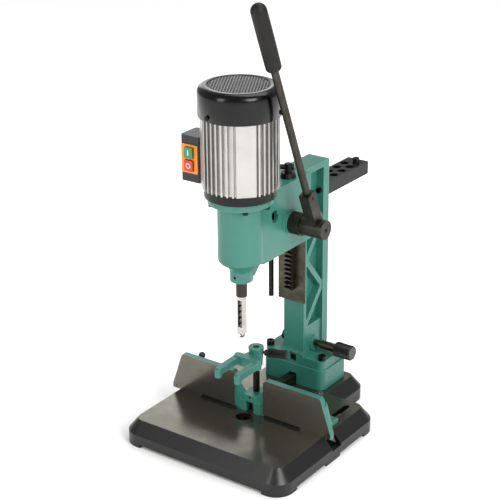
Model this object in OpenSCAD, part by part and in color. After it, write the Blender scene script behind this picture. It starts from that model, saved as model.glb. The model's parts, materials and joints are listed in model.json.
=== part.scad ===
// Benchtop hollow-chisel mortising machine, millimetres, +Z up.
// x = 0 is the plane of symmetry, y = 0 and x = 0 meet on the spindle axis,
// z = 0 is the bench that the machine stands on. The operator stands at -y.

/* [Base casting] */
// Width of the base, side to side
base_w = 350; // [330:5:390]
// Front edge of the base, ahead of the spindle axis
base_front = 133; // [125:1:155]
// Rear end of the base, behind the spindle axis
base_back = 270; // [264:1:300]
// Height of the ground table surface over the bench
table_h = 46; // [42:1:60]
// Width of the narrow rear end
tail_w = 190; // [180:5:240]
// Outer corner radius
base_r = 34; // [26:1:40]
// How far the bevelled sides lean in
bevel_in = 18; // [12:1:22]
// Diameter of the chip hole under the chisel
chip_hole_d = 28; // [24:1:34]
// Width of the two fence slots
slot_w = 11; // [10:0.5:12]
// Clearance hole for a bench bolt
bench_hole_d = 9; // [7:0.5:10]

/* [Column and riser] */
// Width of the riser block and the column foot
foot_w = 134; // [126:2:150]
// Height of the riser block
riser_h = 41; // [38:1:60]
// Thickness of the column foot
foot_t = 18; // [16:1:24]
// Width of the column
column_w = 44; // [40:1:50]
// Depth of the column, front to back
column_d = 80; // [76:1:90]
// Height of the column over its foot
column_h = 366; // [350:2:400]

/* [Slide, rack and pinion] */
// Width of the slide plate
slide_w = 59; // [56:1:62]
// Thickness of the slide plate
slide_t = 7; // [6:0.5:8]
// Gear module of the feed rack and pinion
feed_module = 2.75; // [2.75]
// Teeth on the feed pinion
feed_teeth = 30; // [28:1:30]
// Width of the feed rack
rack_w = 14; // [12:1:16]

/* [Head] */
// Wall of the head on each side of the dovetail slot
head_cheek = 8.5; // [7.5:0.5:11]
// Height of the head casting
head_h = 124; // [122:1:134]
// Radius of the spindle housing
housing_r = 40; // [37:1:44]
// Side of the square chisel
chisel_s = 12; // [11:0.5:14]
// Chisel tip over the table with the head raised
daylight = 164; // [150:1:175]

/* [Motor] */
// Outer radius over the cooling fins
motor_r = 67; // [64:1:70]
// Length of the finned housing
motor_h = 138; // [120:1:150]
// How far the fan cover stands out past the fins
cover_proud = 3; // [2:0.5:6]

/* [Feed lever] */
// Forward lean of the lever when the head is raised
lever_lean = 22; // [10:1:30]
// From the pinion axis to the end of the grip
lever_len = 457; // [420:1:480]
// Radius of the lever rod
rod_r = 6.5; // [5:0.5:7.5]
// Radius of the grip
grip_r = 13.5; // [11:0.5:16]

/* [Fence and hold-down] */
// Front face of the fence, behind the spindle axis
fence_y = 18; // [12:1:24]
// Height of the fence
fence_h = 74; // [60:1:80]
// Gap between the two fence faces
fence_gap = 62; // [60:1:70]
// Thickness of the fence faces
fence_t = 12; // [10:1:12]
// Radius of the hold-down post
post_r = 6; // [5:0.5:7]
// Reach of the hold-down prongs, ahead of the spindle axis
prong_reach = 50; // [35:1:60]

/* [Hidden] */
$fn = 64;
fit = 0.05;      // radial clearance of turning and sliding fits
slide_gap = 0.1; // clearance of flat sliding faces
open_gap = 0.3;  // clearance of faces that only pass each other
eps = 0.5;       // how far a cut runs past a face

black = [0.10, 0.10, 0.11];
bare_iron = [0.52, 0.50, 0.48];
green = [0.13, 0.50, 0.42];
steel = [0.62, 0.63, 0.65];
dark_steel = [0.22, 0.21, 0.21];
alloy = [0.80, 0.80, 0.81];

// Base
pad_h = 6;
skirt_h = 18;
table_t = 10;
wall_t = 8;
table_back = 177;
slot_x = base_w / 2 - 42;
slot_front = 44;
slot_back = 142;
bench_x = base_w / 2 - 15;
bench_y = 38;
bench_hole_r = bench_hole_d / 2;

// Riser block and column
foot_front = 157;
foot_back = 243;
foot_r = 14;
riser_top = table_h + riser_h;
foot_top = riser_top + foot_t;
column_front = 162;
column_back = column_front + column_d;
column_top = foot_top + column_h;
front_flange = 8;
rear_flange = 18;
web_t = 12;
foot_bolt_r = 5;
foot_bolt_x = foot_w / 2 - 9;
foot_bolt_y = [foot_front + 13, foot_back - 13];
tunnel_w = 17;
case_top = foot_top + 55;
rib_z0 = case_top + 4;
rib_step = (column_h - 105) / 4;

// Slide plate and rack
plate_front = column_front - slide_t;
plate_lean = 5.5;
plate_bottom = foot_top + 111.5;
plate_top = column_top;
tooth_pitch = PI * feed_module;
pinion_r = feed_module * feed_teeth / 2;
rack_tip = plate_front - 16.5;
rack_root = rack_tip + 2.25 * feed_module;
rack_line = rack_tip + feed_module;
axis_y = rack_line - pinion_r;
backlash = 0.25;

// Head
head_bottom = column_top - head_h + 1;
head_top = head_bottom + head_h;
head_back = column_front - open_gap;
axis_z = head_bottom + 49.5;
rack_bottom = foot_top + 135;
rack_top = axis_z + 42;
flange_r = motor_r - 11;
head_w = slide_w + 2 * head_cheek;
flange_t = 12;
nose_bottom = head_bottom - 33;
nose_r = 20;
foot_round = 9;
bushing_r = 15;
chisel_tip = table_h + daylight;
chisel_shank_r = 10;
chisel_shoulder = head_bottom - 63;
bore_r = 26;
cavity_x = 12;
depth_x = -head_w / 2 - 13.3;
depth_y = column_front + 1;
depth_r = 4.8;
depth_lug_z = axis_z - 8;
depth_lug_h = 26;
shaft_r = 10;
bush_r = 13;

// Motor
bell_h = 17;
bell_r = motor_r - 5.5;
housing_z = head_top + bell_h;
housing_top = housing_z + motor_h;
cover_z = housing_top - 14;
cover_top = housing_top + 37;
shell_r = motor_r - 6;
cover_r = motor_r + cover_proud;
flat_r = shell_r + 3.5;
stator_r = shell_r - 3;
rotor_r = 34;
motor_shaft_r = 8;
flange_bolts = [[-45, 50], [-135, 50], [9, 50], [171, 50]];

// Switch
box_x1 = -motor_r - 3;
box_w = 40;
box_x0 = box_x1 - box_w;
box_y = -20;
box_d = 44;
box_z = head_top + 10;
box_h = 82;
button_x = (box_x0 + box_x1) / 2;
on_z = box_z + 53;
off_z = box_z + 30;

// Feed lever, measured along the lever from the pinion axis
hub_x0 = head_w / 2 + 2.3;
// the lever swings past the fan cover
arm_x = cover_r + rod_r + 10.5;
hub_x1 = arm_x + 20.5;
arm_w = 20;
arm_d = 22;
arm_len = 78;
grip_start = lever_len - 124;

// Fence, measured from the fence face and the table
fence_z = table_h + slide_gap;
fence_top = table_h + fence_h;
fence_half = base_w / 2 - 1;
stud_y = fence_y + 48;
stud_r = 4;
post_y = fence_y + 24;
bracket_top = table_h + 34;
bracket_back = fence_y + 52;
bar_z0 = table_h + 1;
bar_z1 = table_h + 20;
bar_w = 16;
fence_module = 1.5;
fence_teeth = 18;
fence_pinion_r = fence_module * fence_teeth / 2;
knob_y = 200;
knob_z = foot_top + 14;
rack_line_z = knob_z - fence_pinion_r;
rack_back = 219;

// Hold-down
boss_r = 14;
boss_top = table_h + 123;
boss_bottom = boss_top - 36;
prong_x = 21;
screw_z = boss_top - 10;
screw_turn = 20;

// Tool holder behind the column
holder_z = foot_top + 297;
holder_t = 24;
holder_end = column_back + 136;

// ---- Shared shapes ----

// Rectangle with round corners, given by its edges
module round_rect(x0, x1, y0, y1, r) {
    translate([x0 + r, y0]) square([x1 - x0 - 2 * r, y1 - y0]);
    translate([x0, y0 + r]) square([x1 - x0, y1 - y0 - 2 * r]);
    for (x = [x0 + r, x1 - r], y = [y0 + r, y1 - r]) translate([x, y]) circle(r);
}

// Box from one corner to the opposite one
module box(a, b) translate(a) cube(b - a);

// Cylinders along X and Y that start at a point
module x_rod(p, len, r) translate(p) rotate([0, 90, 0]) cylinder(h = len, r = r);
module y_rod(p, len, r) translate(p) rotate([-90, 0, 0]) cylinder(h = len, r = r);

// Round-cornered block whose upper sides lean in by lean between z1 and z2
module bevelled_block(hx, y0, y1, r, z0, z1, z2, lean) {
    rise = z2 - z1;
    translate([0, 0, z0]) linear_extrude(z1 - z0) round_rect(-hx, hx, y0, y1, r);
    translate([0, y1 - r, z1]) rotate([90, 0, 0]) linear_extrude(y1 - y0 - 2 * r)
        polygon([[-hx, 0], [hx, 0], [hx - lean, rise], [lean - hx, rise]]);
    translate([r - hx, 0, z1]) rotate([90, 0, 90]) linear_extrude(2 * (hx - r))
        polygon([[y0, 0], [y1, 0], [y1 - lean, rise], [y0 + lean, rise]]);
    for (x = [r - hx, hx - r], y = [y0 + r, y1 - r])
        translate([x, y, z1]) cylinder(h = rise, r1 = r, r2 = r - lean);
}

// Socket head cap screw pointing down from the seat at the origin
module cap_screw(r, len, head_r, head_h) {
    difference() {
        union() {
            translate([0, 0, -len]) cylinder(h = len + eps, r = r);
            cylinder(h = head_h, r = head_r);
        }
        translate([0, 0, head_h * 0.45]) cylinder(h = head_h, r = head_r * 0.55, $fn = 6);
    }
}

// Set screw pointing down from the origin, with a hexagon socket
module set_screw(r, len) {
    difference() {
        translate([0, 0, -len]) cylinder(h = len, r = r);
        translate([0, 0, -len * 0.4]) cylinder(h = len, r = r * 0.5, $fn = 6);
    }
}

// Involute of a circle of radius b at the roll angle t, in degrees
function involute(b, t) = [
    b * (cos(t) + t * PI / 180 * sin(t)),
    b * (sin(t) - t * PI / 180 * cos(t))
];
// Roll angle at which that involute reaches the radius r
function roll_at(b, r) = r > b ? sqrt(r * r / (b * b) - 1) * 180 / PI : 0;
function spun(p, a) = [p.x * cos(a) - p.y * sin(a), p.x * sin(a) + p.y * cos(a)];

// Spur gear outline, 20 degree pressure angle, with a tooth centred on +X
module gear_outline(m, teeth, play) {
    pitch_r = m * teeth / 2;
    base = pitch_r * cos(20);
    tip_r = pitch_r + m;
    root_r = pitch_r - 1.25 * m;
    start_r = max(base, root_r + 0.05);
    steps = 4;
    half = 90 / teeth - play / pitch_r * 90 / PI + tan(20) * 180 / PI - 20;
    flank = [for (i = [0:steps]) involute(base, roll_at(base, start_r + (tip_r - start_r) * i / steps))];
    polygon([for (k = [0:teeth - 1], s = [-1, 1], i = [0:steps + 1])
        let (
            j = s < 0 ? i : steps + 1 - i,
            p = j == 0 ? [root_r, 0] : flank[j - 1],
            q = s < 0 ? spun(p, -half) : spun([p.x, -p.y], half)
        ) spun(q, 360 * k / teeth)]);
}

// Rack teeth along +Y, tips at x = 0 and roots at x = 2.25 m, the first gap centred on y = 0
module rack_outline(m, len, back, play) {
    pitch = PI * m;
    count = floor(len / pitch);
    tip = pitch / 4 - m * tan(20) - play / 4;
    root = pitch / 4 + 1.25 * m * tan(20) - play / 4;
    polygon(concat(
        [[back, 0], [2.25 * m, 0]],
        [for (k = [0:count - 1]) for (p = [[2.25 * m, -root], [0, -tip], [0, tip], [2.25 * m, root]])
            [p.x, p.y + (k + 0.5) * pitch]],
        [[2.25 * m, count * pitch], [back, count * pitch]]
    ));
}

// ---- Frame ----

// Outline of the whole base, drawn in by inset
module base_outline(inset) {
    round_rect(inset - base_w / 2, base_w / 2 - inset, inset - base_front, table_back - inset, base_r - inset);
    round_rect(inset - tail_w / 2, tail_w / 2 - inset, 100, base_back - inset, base_r - 4 - inset);
}

module base_blocks(inset, z0, z1, z2, lean) {
    bevelled_block(base_w / 2 - inset, inset - base_front, table_back - inset, base_r - inset, z0, z1, z2, lean);
    bevelled_block(tail_w / 2 - inset, 100, base_back - inset, base_r - 4 - inset, z0, z1, z2, lean);
}

module base_casting() {
    bevel_z = pad_h + skirt_h;
    floor_z = table_h - table_t;
    cavity_lean = bevel_in * 0.55;
    color(black) difference() {
        union() {
            difference() {
                union() {
                    base_blocks(0, pad_h, bevel_z, table_h, bevel_in);
                    linear_extrude(pad_h) intersection() {
                        base_outline(0);
                        union() {
                            for (s = [-1, 1]) {
                                translate([s * (base_w / 2 - 20), -base_front + 22]) square([44, 50], center = true);
                                translate([s * (base_w / 2 - 8), 28]) square([20, 44], center = true);
                                translate([s * (base_w / 2 - 20), table_back - 22]) square([44, 50], center = true);
                                translate([s * (tail_w / 2 - 18), base_back - 20]) square([40, 44], center = true);
                            }
                        }
                    }
                }
                base_blocks(wall_t, pad_h - eps, bevel_z - 6, floor_z, cavity_lean);
            }
            for (x = [-foot_bolt_x, foot_bolt_x], y = foot_bolt_y)
                translate([x, y, pad_h + 8]) cylinder(h = floor_z - pad_h - 7, r = 12);
            for (s = [0, 1]) mirror([s, 0, 0])
                translate([bench_x - 16, bench_y - 19, pad_h]) cube([16 + base_w / 2 - bench_x - 1, 38, 14]);
            for (x = [-70, 70])
                translate([x - 3, wall_t + 5 - base_front, pad_h + 10])
                    cube([6, table_back + base_front - 2 * wall_t - 4, floor_z - pad_h - 9]);
        }
        translate([0, 0, floor_z - eps - 20]) cylinder(h = table_t + 21, r = chip_hole_d / 2);
        for (s = [-1, 1]) {
            translate([0, 0, floor_z - eps]) linear_extrude(table_t + 2 * eps)
                round_rect(s * slot_x - slot_w / 2, s * slot_x + slot_w / 2, slot_front, slot_back, slot_w / 2 - 0.01);
            translate([s * (bench_x + 12) - 19, bench_y - 14, pad_h + 14]) cube([38, 28, table_h]);
            translate([s * bench_x, bench_y, 0]) cylinder(h = table_h, r = bench_hole_r);
        }
        for (x = [-foot_bolt_x, foot_bolt_x], y = foot_bolt_y)
            translate([x, y, pad_h + 14]) cylinder(h = table_h, r = foot_bolt_r);
    }
}

module foot_section(inset) {
    round_rect(inset - foot_w / 2, foot_w / 2 - inset, foot_front + inset, foot_back - inset, foot_r - inset);
}

module riser_block() {
    wall = 10;
    color(green) difference() {
        union() {
            difference() {
                translate([0, 0, table_h]) linear_extrude(riser_h) foot_section(0);
                translate([0, 0, table_h - eps]) linear_extrude(riser_h - wall + eps) foot_section(wall);
            }
            for (x = [-foot_bolt_x, foot_bolt_x], y = foot_bolt_y)
                translate([x, y, table_h]) cylinder(h = riser_h, r = 9);
        }
        box([-tunnel_w / 2, foot_front - eps, table_h - eps], [tunnel_w / 2, foot_back + eps, bar_z1 + 2]);
        box([-tunnel_w / 2, knob_y - 10, table_h - eps], [tunnel_w / 2, foot_back + eps, riser_top + eps]);
        for (x = [-foot_bolt_x, foot_bolt_x], y = foot_bolt_y)
            translate([x, y, table_h - eps]) cylinder(h = riser_h + 2 * eps, r = foot_bolt_r + open_gap);
    }
}

// Slanted stiffening rib in the side pockets, from point a to point b in the YZ plane
module column_rib(a, b) {
    dir = (b - a) / norm(b - a);
    side = 5 * [-dir.y, dir.x];
    translate([-column_w / 2 + 1, 0, 0]) rotate([90, 0, 90]) linear_extrude(column_w - 2)
        polygon([a - side - dir, b - side + dir, b + side + dir, a + side - dir]);
}

module column() {
    w = column_w / 2;
    inner_front = column_front + front_flange;
    inner_back = column_back - rear_flange;
    color(green) difference() {
        union() {
            translate([0, 0, riser_top]) linear_extrude(foot_t) foot_section(2);
            box([-w, column_front, riser_top + 1], [w, inner_front, column_top]);
            box([-w, inner_back, riser_top + 1 + foot_t], [w, column_back, column_top]);
            box([-web_t / 2, column_front + 1, riser_top + 1], [web_t / 2, column_back - 1, column_top - 1]);
            box([-w, column_front, column_top - 11], [w, column_back, column_top]);
            // gear case around the fence pinion
            box([-w + 3, column_front + 1, riser_top + 1], [w - 3, column_back - 1, case_top]);
            x_rod([-w, knob_y, knob_z], 2 * w, fence_pinion_r + 1);
            // toe that joins the foot to the front face
            translate([-w, 0, 0]) rotate([90, 0, 90]) linear_extrude(2 * w)
                polygon([[foot_front + 2, foot_top - 1], [column_front + 1, foot_top - 1],
                    [column_front + 1, foot_top + 14], [foot_front + 2, foot_top + 6]]);
            for (k = [0:3]) {
                z = rib_z0 + k * rib_step;
                if (k % 2 == 0) column_rib([inner_front, z], [inner_back, z + rib_step]);
                else column_rib([inner_back, z], [inner_front, z + rib_step]);
            }
        }
        box([-7.5, foot_front - eps, riser_top + 4], [7.5, knob_y + 22, foot_top + 5]);
        box([-7.5, knob_y - 17, riser_top + 4], [7.5, knob_y + 17, knob_z + 17]);
        box([-tunnel_w / 2, knob_y - 10, riser_top - eps], [tunnel_w / 2, foot_back + eps, riser_top + 4 + eps]);
        box([-7.5, knob_y - 10, riser_top - eps], [7.5, foot_back + eps, foot_top + 3]);
        x_rod([-w - eps, knob_y, knob_z], 2 * w + 2 * eps, 6 + fit);
        for (x = [-foot_bolt_x, foot_bolt_x], y = foot_bolt_y)
            translate([x, y, riser_top - eps]) cylinder(h = foot_t + 2 * eps, r = foot_bolt_r + open_gap);
        for (x = [-14, 14], z = plate_screw_z) y_rod([x, column_front - eps, z], front_flange + 2 * eps, 3.3);
        for (x = holder_screw_x) {
            y_rod([x, inner_back - eps, holder_z + holder_t / 2], rear_flange + 2 * eps, 3.3);
            // room for the screw's head where a rib comes near
            y_rod([x, inner_back - 7, holder_z + holder_t / 2], 7, 5.3);
        }
    }
}

module foot_bolts() {
    color(dark_steel) for (x = [-foot_bolt_x, foot_bolt_x], y = foot_bolt_y)
        translate([x, y, foot_top]) cap_screw(foot_bolt_r - fit, foot_top - pad_h - 22, 7.5, 9);
}

// The screw heads sit where the ribs meet the rear flange
plate_screw_z = [rib_z0 + rib_step, rib_z0 + 3 * rib_step, plate_top - 18];
holder_screw_x = [-14, 14];

module slide_plate() {
    hw = slide_w / 2;
    color(dark_steel) difference() {
        translate([0, 0, plate_bottom]) linear_extrude(plate_top - plate_bottom)
            polygon([[-hw, plate_front], [hw, plate_front],
                [hw - plate_lean, column_front], [plate_lean - hw, column_front]]);
        for (x = [-14, 14], z = plate_screw_z) y_rod([x, column_front - 5, z], 6, 3);
        for (z = rack_screw_z) y_rod([0, plate_front - eps, z], 6, 2.5);
    }
}

module slide_plate_screws() {
    color(dark_steel) for (x = [-14, 14], z = plate_screw_z)
        translate([x, column_front + front_flange, z]) rotate([-90, 0, 0])
            cap_screw(3 - fit, front_flange + 4.8, 5, 6);
}

rack_count = floor((rack_top - rack_bottom) / tooth_pitch);
// A rack gap faces the pinion tooth that points straight at the rack
rack_z0 = axis_z - tooth_pitch * floor((axis_z - rack_bottom) / tooth_pitch);
rack_screw_z = [rack_z0 + 2 * tooth_pitch, rack_z0 + 11 * tooth_pitch, rack_z0 + 19 * tooth_pitch];

module feed_rack() {
    color(dark_steel) difference() {
        translate([rack_w / 2, rack_tip, rack_z0]) rotate([0, -90, 0])
            linear_extrude(rack_w) mirror([1, -1, 0])
            rack_outline(feed_module, rack_count * tooth_pitch + 0.1, plate_front - rack_tip, backlash);
        for (z = rack_screw_z) {
            y_rod([0, rack_tip - eps, z], plate_front - rack_tip + 2 * eps, 2.6);
            y_rod([0, rack_tip - eps, z], 10.5 + eps, 4.7);
        }
    }
}

module feed_rack_screws() {
    color(dark_steel) for (z = rack_screw_z)
        translate([0, rack_tip + 10.5, z]) rotate([90, 0, 0]) cap_screw(2.5 - fit, 11, 4.4, 4);
}

module tool_holder() {
    row_pitch = 27;
    color(black) difference() {
        box([-column_w / 2, column_back, holder_z], [column_w / 2, holder_end, holder_z + holder_t]);
        for (k = [0:2]) translate([9, column_back + 36 + k * row_pitch, holder_z - eps])
            cylinder(h = holder_t + 2 * eps, r = 8);
        for (k = [0:3]) translate([-10, column_back + 22 + k * row_pitch, holder_z - eps])
            cylinder(h = holder_t + 2 * eps, r = 8);
        for (x = holder_screw_x) y_rod([x, column_back - eps, holder_z + holder_t / 2], 13, 3);
        translate([6, holder_end - 18, holder_z + 4]) cylinder(h = holder_t, r = 3);
    }
}

module tool_holder_screws() {
    color(dark_steel) {
        for (x = holder_screw_x) translate([x, column_back - rear_flange, holder_z + holder_t / 2])
            rotate([90, 0, 0]) cap_screw(3 - fit, rear_flange + 12, 5, 6);
        translate([6, holder_end - 18, holder_z + holder_t]) cap_screw(3 - fit, 16, 6.3, 9);
    }
}

// ---- Head ----

// Edge of the dovetail, drawn out by off, on the side s
module dovetail_slot(left, right) {
    hw = slide_w / 2;
    polygon([[-hw - left, plate_front - slide_gap], [hw + right, plate_front - slide_gap],
        [hw + right, plate_front], [hw + right - plate_lean * 1.2, column_front + slide_t * 0.2],
        [plate_lean * 1.2 - hw - left, column_front + slide_t * 0.2], [-hw - left, plate_front]]);
}

gib_t = 4;

module head_casting() {
    w = head_w / 2;
    color(green) difference() {
        union() {
            translate([0, 0, head_bottom]) rotate_extrude($fn = 96) {
                translate([0, foot_round]) square([housing_r, head_h - 1 - foot_round]);
                square([housing_r - foot_round, 2 * foot_round]);
                translate([housing_r - foot_round, foot_round]) circle(foot_round, $fn = 48);
            }
            translate([0, 0, head_top - flange_t]) cylinder(h = flange_t, r = flange_r, $fn = 96);
            translate([0, 0, head_top - flange_t - 4]) cylinder(h = 4, r1 = housing_r, r2 = housing_r + 4, $fn = 96);
            translate([-w, 0, 0]) rotate([90, 0, 90]) linear_extrude(2 * w)
                polygon([[0, head_top], [0, head_bottom + 12], [12, head_bottom], [head_back - 8, head_bottom],
                    [head_back - 8, head_top]]);
            translate([0, 0, head_bottom]) linear_extrude(head_h) round_rect(-w, w, 30, head_back, 6);
            translate([0, 0, head_bottom - 14]) cylinder(h = 14.5, r1 = nose_r, r2 = nose_r + 9);
            translate([0, 0, nose_bottom]) cylinder(h = head_bottom - nose_bottom + 1, r = nose_r);
            // web that ties the nose to the underside of the head
            translate([-15, 0, 0]) rotate([90, 0, 90]) linear_extrude(30)
                polygon([[0, nose_bottom + 5], [nose_r - 1, nose_bottom + 5], [nose_r + 26, head_bottom + 1],
                    [0, head_bottom + 1]]);
            x_rod([w - 1, axis_y, axis_z], 3, 23);
            // lug that guides the depth rod
            translate([depth_x, depth_y, depth_lug_z]) cylinder(h = depth_lug_h, r = 12);
            box([depth_x, depth_y - 12, depth_lug_z], [-w + 2, head_back, depth_lug_z + depth_lug_h]);
        }
        translate([0, 0, head_bottom + 6]) cylinder(h = head_h - 6 - 4, r = bore_r);
        translate([0, 0, head_top - 5]) cylinder(h = 6, r = 30);
        translate([0, 0, nose_bottom - eps]) cylinder(h = 60, r = bushing_r);
        box([-cavity_x, bore_r + 8, head_bottom + 5], [cavity_x, plate_front, axis_z + pinion_r + 8]);
        // hollow on both sides of the pinion, round the bosses of its bushes
        difference() {
            box([8 - w, bore_r + 18, head_bottom + 8], [w - 8, rack_tip - 12, head_top - 24]);
            x_rod([-w, axis_y, axis_z], w - cavity_x, bush_r + 7);
            x_rod([cavity_x, axis_y, axis_z], w - cavity_x, bush_r + 7);
        }
        box([-rack_w / 2 - 1, rack_tip - 2, head_bottom - eps], [rack_w / 2 + 1, column_front + 2, head_top + eps]);
        translate([0, 0, head_bottom - eps]) linear_extrude(head_h + 2 * eps) dovetail_slot(gib_t, slide_gap);
        x_rod([-w - 2, axis_y, axis_z], head_w + 6, bush_r);
        // window for the chuck key
        translate([w + 1, 47, axis_z + 27]) rotate([20, 0, 0]) rotate([0, -90, 0]) linear_extrude(w - 8)
            round_rect(-12, 12, -9, 9, 8.9);
        for (b = flange_bolts) rotate([0, 0, b[0]]) translate([b[1], 0, head_top - flange_t - eps])
            cylinder(h = flange_t + 2 * eps, r = 3.3);
        translate([0, -nose_r - eps, chisel_screw_z]) rotate([-90, 0, 0]) cylinder(h = nose_r, r = 3);
        for (z = gib_screw_z) x_rod([-w - eps, gib_screw_y, z], w - slide_w / 2 + 1, 2.5);
        translate([depth_x, depth_y, depth_lug_z - eps]) cylinder(h = depth_lug_h + 2 * eps, r = depth_r + fit);
        x_rod([depth_x - 14, depth_y, depth_lug_z + depth_lug_h / 2], 14, 3 + fit);
        translate([lock_x, lock_y, head_top - 20]) cylinder(h = 21, r = 4 + fit);
    }
}

chisel_screw_z = nose_bottom + 10;
gib_screw_z = [head_bottom + 15, head_top - 42, head_top - 12];
gib_screw_y = plate_front + 3.2;
lock_x = 18;
lock_y = 116;

module gib_strip() {
    hw = slide_w / 2;
    lean = plate_lean * (head_back - plate_front) / slide_t;
    color(steel) translate([0, 0, head_bottom + 2]) linear_extrude(head_h - 4)
        polygon([[-hw - gib_t + fit, plate_front], [-hw - fit, plate_front],
            [lean - hw - fit, head_back], [lean - hw - gib_t + fit, head_back]]);
}

module gib_screws() {
    face = -slide_w / 2 - gib_t + plate_lean * 3.2 / slide_t - 1.8;
    color(dark_steel) for (z = gib_screw_z)
        translate([-head_w / 2 - 4, gib_screw_y, z]) rotate([0, -90, 0])
            set_screw(2.5 - fit, face + head_w / 2 + 4);
}

module chisel_bushing() {
    color(steel) difference() {
        translate([0, 0, nose_bottom + 1]) cylinder(h = head_bottom - nose_bottom + 5, r = bushing_r - fit);
        translate([0, 0, nose_bottom]) cylinder(h = 60, r = chisel_shank_r + fit);
        translate([0, -bushing_r - 1, chisel_screw_z]) rotate([-90, 0, 0]) cylinder(h = bushing_r, r = 3);
    }
}

module chisel_set_screw() {
    color(dark_steel) translate([0, -nose_r + 1, chisel_screw_z]) rotate([90, 0, 0])
        set_screw(3 - fit, nose_r - 1 - chisel_shank_r);
}

bit_r = chisel_s * 0.4;

module mortising_chisel() {
    s = chisel_s;
    bore = bit_r + open_gap;
    color(steel) difference() {
        union() {
            translate([-s / 2, -s / 2, chisel_tip]) cube([s, s, chisel_shoulder - chisel_tip + 1]);
            translate([0, 0, chisel_shoulder]) cylinder(h = head_bottom - chisel_shoulder - 2, r = chisel_shank_r);
        }
        translate([0, 0, chisel_tip - 1]) cylinder(h = head_bottom - chisel_tip, r = bore);
        translate([0, 0, chisel_tip - eps]) cylinder(h = s * 0.6, r1 = s * 0.72, r2 = bore - 0.4);
        box([-s * 0.35, -s, chisel_tip + 16], [s * 0.35, 0, chisel_shoulder - 8]);
    }
}

// ---- Motor ----

module motor_housing() {
    fins = 7;
    color(alloy) difference() {
        union() {
            translate([0, 0, housing_z]) linear_extrude(motor_h) {
                circle(shell_r, $fn = 128);
                for (q = [0:3]) {
                    rotate(45 + 90 * q) translate([shell_r - 8, -motor_r * 0.25]) square([flat_r - shell_r + 8, motor_r * 0.5]);
                    for (k = [0:fins - 1]) rotate(90 * q + (k - (fins - 1) / 2) * 8.6)
                        translate([shell_r - 2, -1.6]) square([motor_r - shell_r + 2, 3.2]);
                }
            }
            box([box_x1, box_y + 6, box_z + 10], [-shell_r + 6, box_y + box_d - 6, box_z + box_h - 8]);
        }
        translate([0, 0, housing_z - eps]) cylinder(h = motor_h + 2 * eps, r = stator_r, $fn = 128);
        x_rod([box_x1 - eps, 0, box_z + 60], 20, 6);
        for (a = cover_screw_a) rotate([0, 0, a]) x_rod([shell_r - 2.5, 0, cover_z + 7], 10, 2);
    }
}

module lower_end_bell() {
    color(black) difference() {
        union() {
            translate([0, 0, head_top]) cylinder(h = bell_h, r = bell_r, $fn = 96);
            translate([0, 0, head_top - 4.9]) cylinder(h = 5, r = 30 - fit);
        }
        translate([0, 0, head_top + 6]) difference() {
            cylinder(h = bell_h, r = stator_r - 1, $fn = 96);
            cylinder(h = bell_h, r = 25);
        }
        translate([0, 0, head_top - 6]) cylinder(h = bell_h + 10, r = 10);
        translate([0, 0, head_top + 4]) cylinder(h = bell_h, r = 20);
        for (b = flange_bolts) rotate([0, 0, b[0]]) translate([b[1], 0, head_top - eps])
            cylinder(h = 5 + eps, r = 3);
    }
}

module upper_end_bell() {
    top = housing_top;
    color(black) difference() {
        union() {
            translate([0, 0, top]) cylinder(h = 6, r = shell_r, $fn = 96);
            translate([0, 0, top - 6]) cylinder(h = 7, r = stator_r - fit, $fn = 96);
            translate([0, 0, top - 12]) cylinder(h = 14, r = 22);
        }
        translate([0, 0, top - 7]) difference() {
            cylinder(h = 7, r = stator_r - 5);
            cylinder(h = 7, r = 22);
        }
        translate([0, 0, top - 13]) cylinder(h = 11, r = 17.5);
        translate([0, 0, top - 13]) cylinder(h = 30, r = 10);
    }
}

module motor_flange_bolts() {
    color(dark_steel) for (b = flange_bolts) rotate([0, 0, b[0]])
        translate([b[1], 0, head_top - flange_t]) rotate([180, 0, 0]) cap_screw(3 - fit, flange_t + 4.5, 5, 6);
}

module fan_cover() {
    round_r = 10;
    wall = 2.5;
    color(black) difference() {
        rotate_extrude($fn = 128) {
            translate([0, cover_z]) square([cover_r, cover_top - cover_z - round_r]);
            translate([0, cover_z]) square([cover_r - round_r, cover_top - cover_z]);
            translate([cover_r - round_r, cover_top - round_r]) circle(round_r, $fn = 48);
        }
        translate([0, 0, cover_z - eps]) cylinder(h = cover_top - cover_z - round_r, r = cover_r - wall, $fn = 128);
        translate([0, 0, cover_z]) cylinder(h = cover_top - cover_z - wall, r = cover_r - round_r, $fn = 128);
        for (ring = [1:4]) for (k = [0:6 * ring - 1])
            rotate([0, 0, 60 * k / ring]) translate([11.5 * ring, 0, cover_top - 5]) cylinder(h = 6, r = 3, $fn = 16);
        for (a = cover_screw_a) rotate([0, 0, a]) x_rod([cover_r - 4, 0, cover_z + 7], 6, 2);
    }
}

// Angles that fall between two fins or on a flat
cover_screw_a = [21.5, 135, 257.1];

module fan_cover_screws() {
    color(dark_steel) for (a = cover_screw_a) rotate([0, 0, a]) {
        x_rod([shell_r - 2, 0, cover_z + 7], cover_r - shell_r + 3, 2 - fit);
        x_rod([cover_r, 0, cover_z + 7], 2, 4);
    }
}

module stator() {
    color([0.55, 0.35, 0.15]) translate([0, 0, housing_z + 12]) difference() {
        cylinder(h = motor_h - 34, r = stator_r - fit, $fn = 96);
        translate([0, 0, -eps]) cylinder(h = motor_h, r = rotor_r + 0.6);
    }
}

module ball_bearing(z, outer, h) {
    color(steel) translate([0, 0, z]) difference() {
        cylinder(h = h, r = outer - fit);
        translate([0, 0, -eps]) cylinder(h = h + 2 * eps, r = motor_shaft_r + fit);
        translate([0, 0, -eps]) difference() {
            cylinder(h = 1.5, r = outer - 4);
            cylinder(h = 1.5, r = motor_shaft_r + 4);
        }
    }
}

module lower_bearing() ball_bearing(head_top + 4, 20, 12);
module upper_bearing() ball_bearing(housing_top - 12, 17.5, 10);

shaft_bottom = axis_z + 14;

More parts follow.
